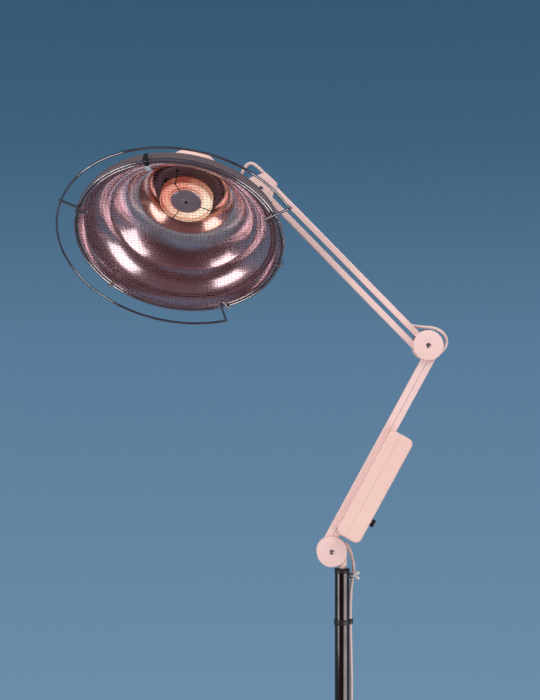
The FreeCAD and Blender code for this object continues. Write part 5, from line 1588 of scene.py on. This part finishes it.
# %% Cable round the elbow
ELBOW_ROUTE = [
    (0.103407, 0.0242, 1.352122),
    (0.118407, 0.0244, 1.351122),
    (0.134407, 0.0204, 1.348322),
    (0.151407, 0.0156, 1.347922),
    (0.165407, 0.0116, 1.341722),
    (0.173407, 0.0076, 1.330322),
    (0.172607, 0.0042, 1.316722),
    (0.163807, 0.0014, 1.306722),
    (0.153007, 0.0000, 1.298522),
    (0.145007, 0.0000, 1.290322),
]
elbow_path = points_along(ELBOW_ROUTE)
half = len(elbow_path) // 2
upper_half, lower_half = elbow_path[:half + 1], elbow_path[half:]
elbow_upper = across("elbow_lead_upper", upper_half, "upper_main_arm", "elbow",
                     upper_half[3], upper_half[-1], "elbow_cable")
elbow_lower = across("elbow_lead_lower", lower_half, "elbow", "lower_main_arm",
                     lower_half[0], lower_half[-4], "elbow_cable")
for piece, path in ((elbow_upper, upper_half), (elbow_lower, lower_half)):
    tuple(path[0])
    round(length_of(path), 3)
    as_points(path)

# %% [markdown]
# At the head the lead stands up in a small loop, which gives it the length it needs when the head
# tilts. A second, very short piece follows the spindle into the rear cup. A piece shorter than six
# diameters hardly hangs.

# %% Cables at the head
HEAD_LOOP = [
    (-0.125978, 0.0150, 1.601264),
    (-0.133778, 0.0152, 1.608864),
    (-0.141178, 0.0154, 1.616064),
    (-0.148778, 0.0156, 1.620864),
    (-0.156378, 0.0162, 1.619264),
    (-0.161578, 0.0174, 1.612264),
    (-0.165578, 0.0196, 1.603664),
    (-0.171978, 0.0224, 1.597464),
    (-0.182078, 0.0246, 1.594864),
]
SHORTEST_CORD = 6 * CORD_DIAMETER
boss_mouth = HEAD @ Vector((0.0492, 0, 0.1496))
before_boss = HEAD @ Vector((0.0555, 0, 0.1496))
HEAD_RUN = [HEAD_LOOP[-1], (-0.187758, 0.02584, 1.593404), tuple(before_boss), tuple(boss_mouth)]
loop_path = points_along(HEAD_LOOP)
run_path = points_along(HEAD_RUN)
head_upper = across("head_lead_upper", loop_path, "head_bracket", "tilt_spindle",
                    loop_path[4], loop_path[-8], "head_cable_upper")
head_lower = across("head_lead_lower", run_path, "tilt_spindle", "head",
                    run_path[1], run_path[-2], "head_cable_lower")
for piece, path in ((head_upper, loop_path), (head_lower, run_path)):
    print(piece.name, "in millimetres:", round(length_of(path) * 1000, 1))
    if length_of(path) > SHORTEST_CORD:
        tuple(path[0])
        round(length_of(path), 3)
        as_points(path)

# %% [markdown]
# ## Plug and tie
# The mains cord ends in a moulded plug with two round pins and a ribbed grip. The body is an outline
# seen from above, made as thick as a plug. The grip and the pins are turned about an axis that lies
# on the floor, and a thin sleeve covers the root of each pin.

# %% Plug
PLUG_AXIS = Matrix.Translation((-54.8, 0, 11.3))
PLUG_HALF_THICKNESS = 10.6
GRIP_RIBS, GRIP_START, RIB_STEP = 4, 299.4, 2.2
PIN_OFFSET = 9.5
plug_view = arc_between((-7.0, 306), (-16.8, 318), 1.6, 6) + [(-16.9, 332)]
plug_view += arc_between((-16.6, 334), (-14, 336.8), -0.8, 4)
plug_view += [(-x, y) for x, y in reversed(plug_view)]
lay_flat = PLUG_AXIS @ Matrix(((1, 0, 0, 0), (0, 0, 1, 0), (0, -1, 0, 0), (0, 0, 0, 1)))
plug = bmesh.new()
add_plate(plug, plug_view, -PLUG_HALF_THICKNESS, PLUG_HALF_THICKNESS, 2.6, 4, lay_flat)
along_floor = PLUG_AXIS @ Matrix.Rotation(math.radians(-90), 4, "X")
grip_outline = [(0, 299), (3.4, 299)]
for index in range(GRIP_RIBS):
    start = GRIP_START + index * RIB_STEP
    widest = 3.9 + index * 0.75
    grip_outline += [(widest, start), (widest, start + 1.2),
                     (widest - 0.7, start + 1.5), (widest - 0.7, start + 2.0)]
grip_outline += [(6.6, 308.6), (7.0, 312), (0, 312)]
add_turned(plug, grip_outline, 40, along_floor)
for side in (-PIN_OFFSET, PIN_OFFSET):
    pin = along_floor @ Matrix.Translation((side, 0, 0))
    add_turned(plug, [(0, 336), (2.4, 336), (2.4, 353.6), (1.8, 355.4), (0, 355.8)], 28, pin, 1)
    add_turned(plug, [(2.4, 336.4), (2.55, 336.4), (2.55, 344.5), (2.4, 344.6)], 28, pin)
plug_piece = finished(plug, "mains_plug_body", "stand", [soft_grip, brass], IN_MM, ["mains_plug"])

# %% [markdown]
# Spare cord is sold wound up with a soft strap round it. The strap is a flat band along a closed path
# round the coil's section, with the loose end lying on top.

# %% Tie round the coil
STRAP_HALF_WIDTH, STRAP_THICKNESS, STRAP_BEND = 4.0, 0.7, 2.2
STRAP_CORNERS = [(21.9, 0, 0.9), (38.2, 0, 0.9), (38.2, 0, 16.2), (21.9, 0, 16.2)]


def add_band(builder, corners, place):
    """A flat strap along a closed path in the x and z plane."""
    path = rounded_path([corners[-1]] + corners + [corners[0]], STRAP_BEND, 5)[1:-1]
    middle = sum((Vector(corner) for corner in corners), Vector()) / len(corners)
    rings = []
    for near in path:
        far = near + (near - middle).normalized() * STRAP_THICKNESS
        edges = ((near, -STRAP_HALF_WIDTH), (near, STRAP_HALF_WIDTH),
                 (far, STRAP_HALF_WIDTH), (far, -STRAP_HALF_WIDTH))
        rings.append([builder.verts.new(place @ Vector((point.x, y, point.z))) for point, y in edges])
    for first, second in zip(rings, rings[1:] + rings[:1]):
        for index in range(4):
            after = (index + 1) % 4
            builder.faces.new((first[index], first[after], second[after], second[index]))


on_coil_section = Matrix.Translation((0, 318, 0)) @ Matrix.Rotation(math.radians(90), 4, "Z")
tie = bmesh.new()
add_band(tie, STRAP_CORNERS, on_coil_section)
add_block(tie, (27, -4.6, 16.2), (33, 4.6, 18.4), 0.6, 2, on_coil_section)
tie_piece = finished(tie, "coil_tie", "stand", mat_rubber, IN_MM)

# %% [markdown]
# Now the whole mains cord is drawn along the route that was worked out at the start. It rides on the
# stand, which doesn't move, and takes the plug and the tie along with it.

# %% Lay the mains cord
mains = bmesh.new()
add_tube(mains, mains_path, CORD_RADIUS, CORD_SIDES)
mains_cord = finished(mains, "mains_lead", "stand", lead_rubber, Matrix(),
                      ["mains_cord", "cord_coil"], 60)

# %% [markdown]
# ## Light and surroundings
# The lamp stands on a plain pale floor that fades into a plain blue backdrop. The floor is a disc whose
# alpha falls towards its edge. Metal sees it much darker than the camera does, because the dish looks
# down on it, and a pale floor would fill the whole dish with white.

# %% Floor
FLOOR_RADIUS, FADE_FROM, FADE_TO = 1.7, 0.5, 1.6
FLOOR_DARK, FLOOR_PALE = (0.70, 0.72, 0.74, 1), (0.76, 0.78, 0.80, 1)
FLOOR_IN_METAL = (0.13, 0.075, 0.08, 1)
disc_builder = bmesh.new()
bmesh.ops.create_circle(disc_builder, cap_ends=True, segments=128, radius=FLOOR_RADIUS)
floor_mesh = bpy.data.meshes.new("floor")
disc_builder.to_mesh(floor_mesh)
disc_builder.free()
floor = bpy.data.objects.new("floor", floor_mesh)
bpy.context.scene.collection.objects.link(floor)
floor_paint, tree, shader = new_material("floor_paint", Roughness=0.85)
surface = use_group(tree, grain_group, size=90.0, drift_size=1.3)
floor_tone = mixed(tree, surface["Drift"], FLOOR_DARK, FLOOR_PALE)
in_metal = add_node(tree, "ShaderNodeLightPath").outputs["Is Glossy Ray"]
tree.links.new(mixed(tree, in_metal, floor_tone, FLOOR_IN_METAL), shader.inputs["Base Color"])
place = add_node(tree, "ShaderNodeTexCoord").outputs["Object"]
far = add_node(tree, "ShaderNodeVectorMath", {"operation": "LENGTH"}, Vector=place).outputs["Value"]
tree.links.new(span(tree, far, FADE_FROM, FADE_TO, 1.0, 0.0), shader.inputs["Alpha"])
floor.data.materials.append(floor_paint)
floor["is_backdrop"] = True
print("the floor fades out between", FADE_FROM, "and", FADE_TO, "metres")

# %% [markdown]
# The world does two jobs. For soft light it is one even tone. For the camera and for mirrors it is a
# blue backdrop behind the lamp and a dark warm room in front of it, because a polished dish shows
# mostly what stands in front of it.

# %% World
BACKDROP = [(0.0, (0.16, 0.28, 0.41)), (0.5, (0.10, 0.20, 0.32)),
            (0.76, (0.050, 0.120, 0.20)), (1.0, (0.035, 0.09, 0.16))]
ROOM = [(0.0, (0.20, 0.14, 0.17)), (0.34, (0.19, 0.12, 0.145)), (0.46, (0.09, 0.04, 0.042)),
        (0.60, (0.10, 0.045, 0.048)), (0.66, (0.19, 0.23, 0.34)), (1.0, (0.12, 0.17, 0.26))]
SOFT_LIGHT, SOFT_STRENGTH = (0.74, 0.72, 0.72, 1.0), 0.28
world = bpy.data.worlds.new("studio")
bpy.context.scene.world = world
world.use_nodes = True
tree = world.node_tree
tree.nodes.clear()
seen = add_node(tree, "ShaderNodeLightPath").outputs
way = add_node(tree, "ShaderNodeSeparateXYZ",
               Vector=add_node(tree, "ShaderNodeTexCoord").outputs["Generated"]).outputs
backdrop = ramp(tree, span(tree, way["Z"], -0.25, 0.25), BACKDROP)
room = ramp(tree, span(tree, way["Z"], -1.0, 1.0), ROOM)
in_front = math_node(tree, "MULTIPLY", span(tree, way["Y"], 0.05, -0.25), seen["Is Glossy Ray"])
tone = mixed(tree, in_front, backdrop, room)
direct = math_node(tree, "MAXIMUM", seen["Is Camera Ray"], seen["Is Glossy Ray"])
direct = math_node(tree, "MAXIMUM", direct, seen["Is Transmission Ray"])
shown = add_node(tree, "ShaderNodeBackground", Color=tone)
light = add_node(tree, "ShaderNodeBackground", Color=SOFT_LIGHT, Strength=SOFT_STRENGTH)
both = add_node(tree, "ShaderNodeMixShader", Fac=direct)
tree.links.new(light.outputs[0], both.inputs[1])
tree.links.new(shown.outputs[0], both.inputs[2])
tree.links.new(both.outputs[0], add_node(tree, "ShaderNodeOutputWorld").inputs["Surface"])
print("the world's network has", len(tree.nodes), "nodes")

# %% [markdown]
# Two soft boxes low in front stand where the dish mirrors them, one on each side. Their pictures are
# the bright bands of the zones. Three larger ones give the pale parts their light and are kept out of
# the mirrors.

# %% Soft boxes
def soft_box(name, place, aim, width, height, power, mirrored=True):
    data = bpy.data.lights.new(name, "AREA")
    data.shape = "RECTANGLE"
    data.size = width
    data.size_y = height
    data.energy = power
    lamp = bpy.data.objects.new(name, data)
    lamp.location = place
    lamp.rotation_euler = (Vector(aim) - Vector(place)).to_track_quat("-Z", "Y").to_euler()
    lamp.visible_glossy = mirrored
    lamp.visible_camera = False
    bpy.context.scene.collection.objects.link(lamp)
    print(name, "gives", power, "watts")


DISH_MIDDLE = Vector((-0.25, 0.0, 1.45))


def from_dish(degrees, rise, distance):
    """A place seen from the dish: degrees to the right of straight ahead, and degrees above level."""
    angle, rise = math.radians(degrees), math.radians(rise)
    level = math.cos(rise) * distance
    return DISH_MIDDLE + Vector((level * math.sin(angle), -level * math.cos(angle),
                                 math.sin(rise) * distance))


STAND_MIDDLE = (0, 0, 1.2)
soft_box("right_box", from_dish(54, -31, 1.7), DISH_MIDDLE, 1.25, 0.75, 9)
soft_box("left_box", from_dish(-56, -20, 1.9), DISH_MIDDLE, 0.95, 0.75, 7)
soft_box("front_box", (0.2, -4.6, 2.6), STAND_MIDDLE, 1.6, 1.6, 20, False)
soft_box("top_box", (0.7, -0.9, 3.2), STAND_MIDDLE, 1.6, 1.6, 38, False)
soft_box("side_box", (-2.4, -1.4, 2.1), STAND_MIDDLE, 1.2, 1.2, 40, False)

# %% [markdown]
# ## Last steps
# The Standard view shows each colour about as it is written. The sizes before and after are kept, to
# show that dressing the model hasn't changed its size.

# %% Sizes and finish
bpy.context.scene.view_settings.view_transform = "Standard"
bpy.context.view_layer.update()
visual_low, visual_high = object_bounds()
sizes = {"cad": [list(cad_low), list(cad_high)], "visual": [list(visual_low), list(visual_high)]}
for label, (low, high) in sizes.items():
    print(label, "in millimetres:", [round((b - a) * 1000, 1) for a, b in zip(low, high)])
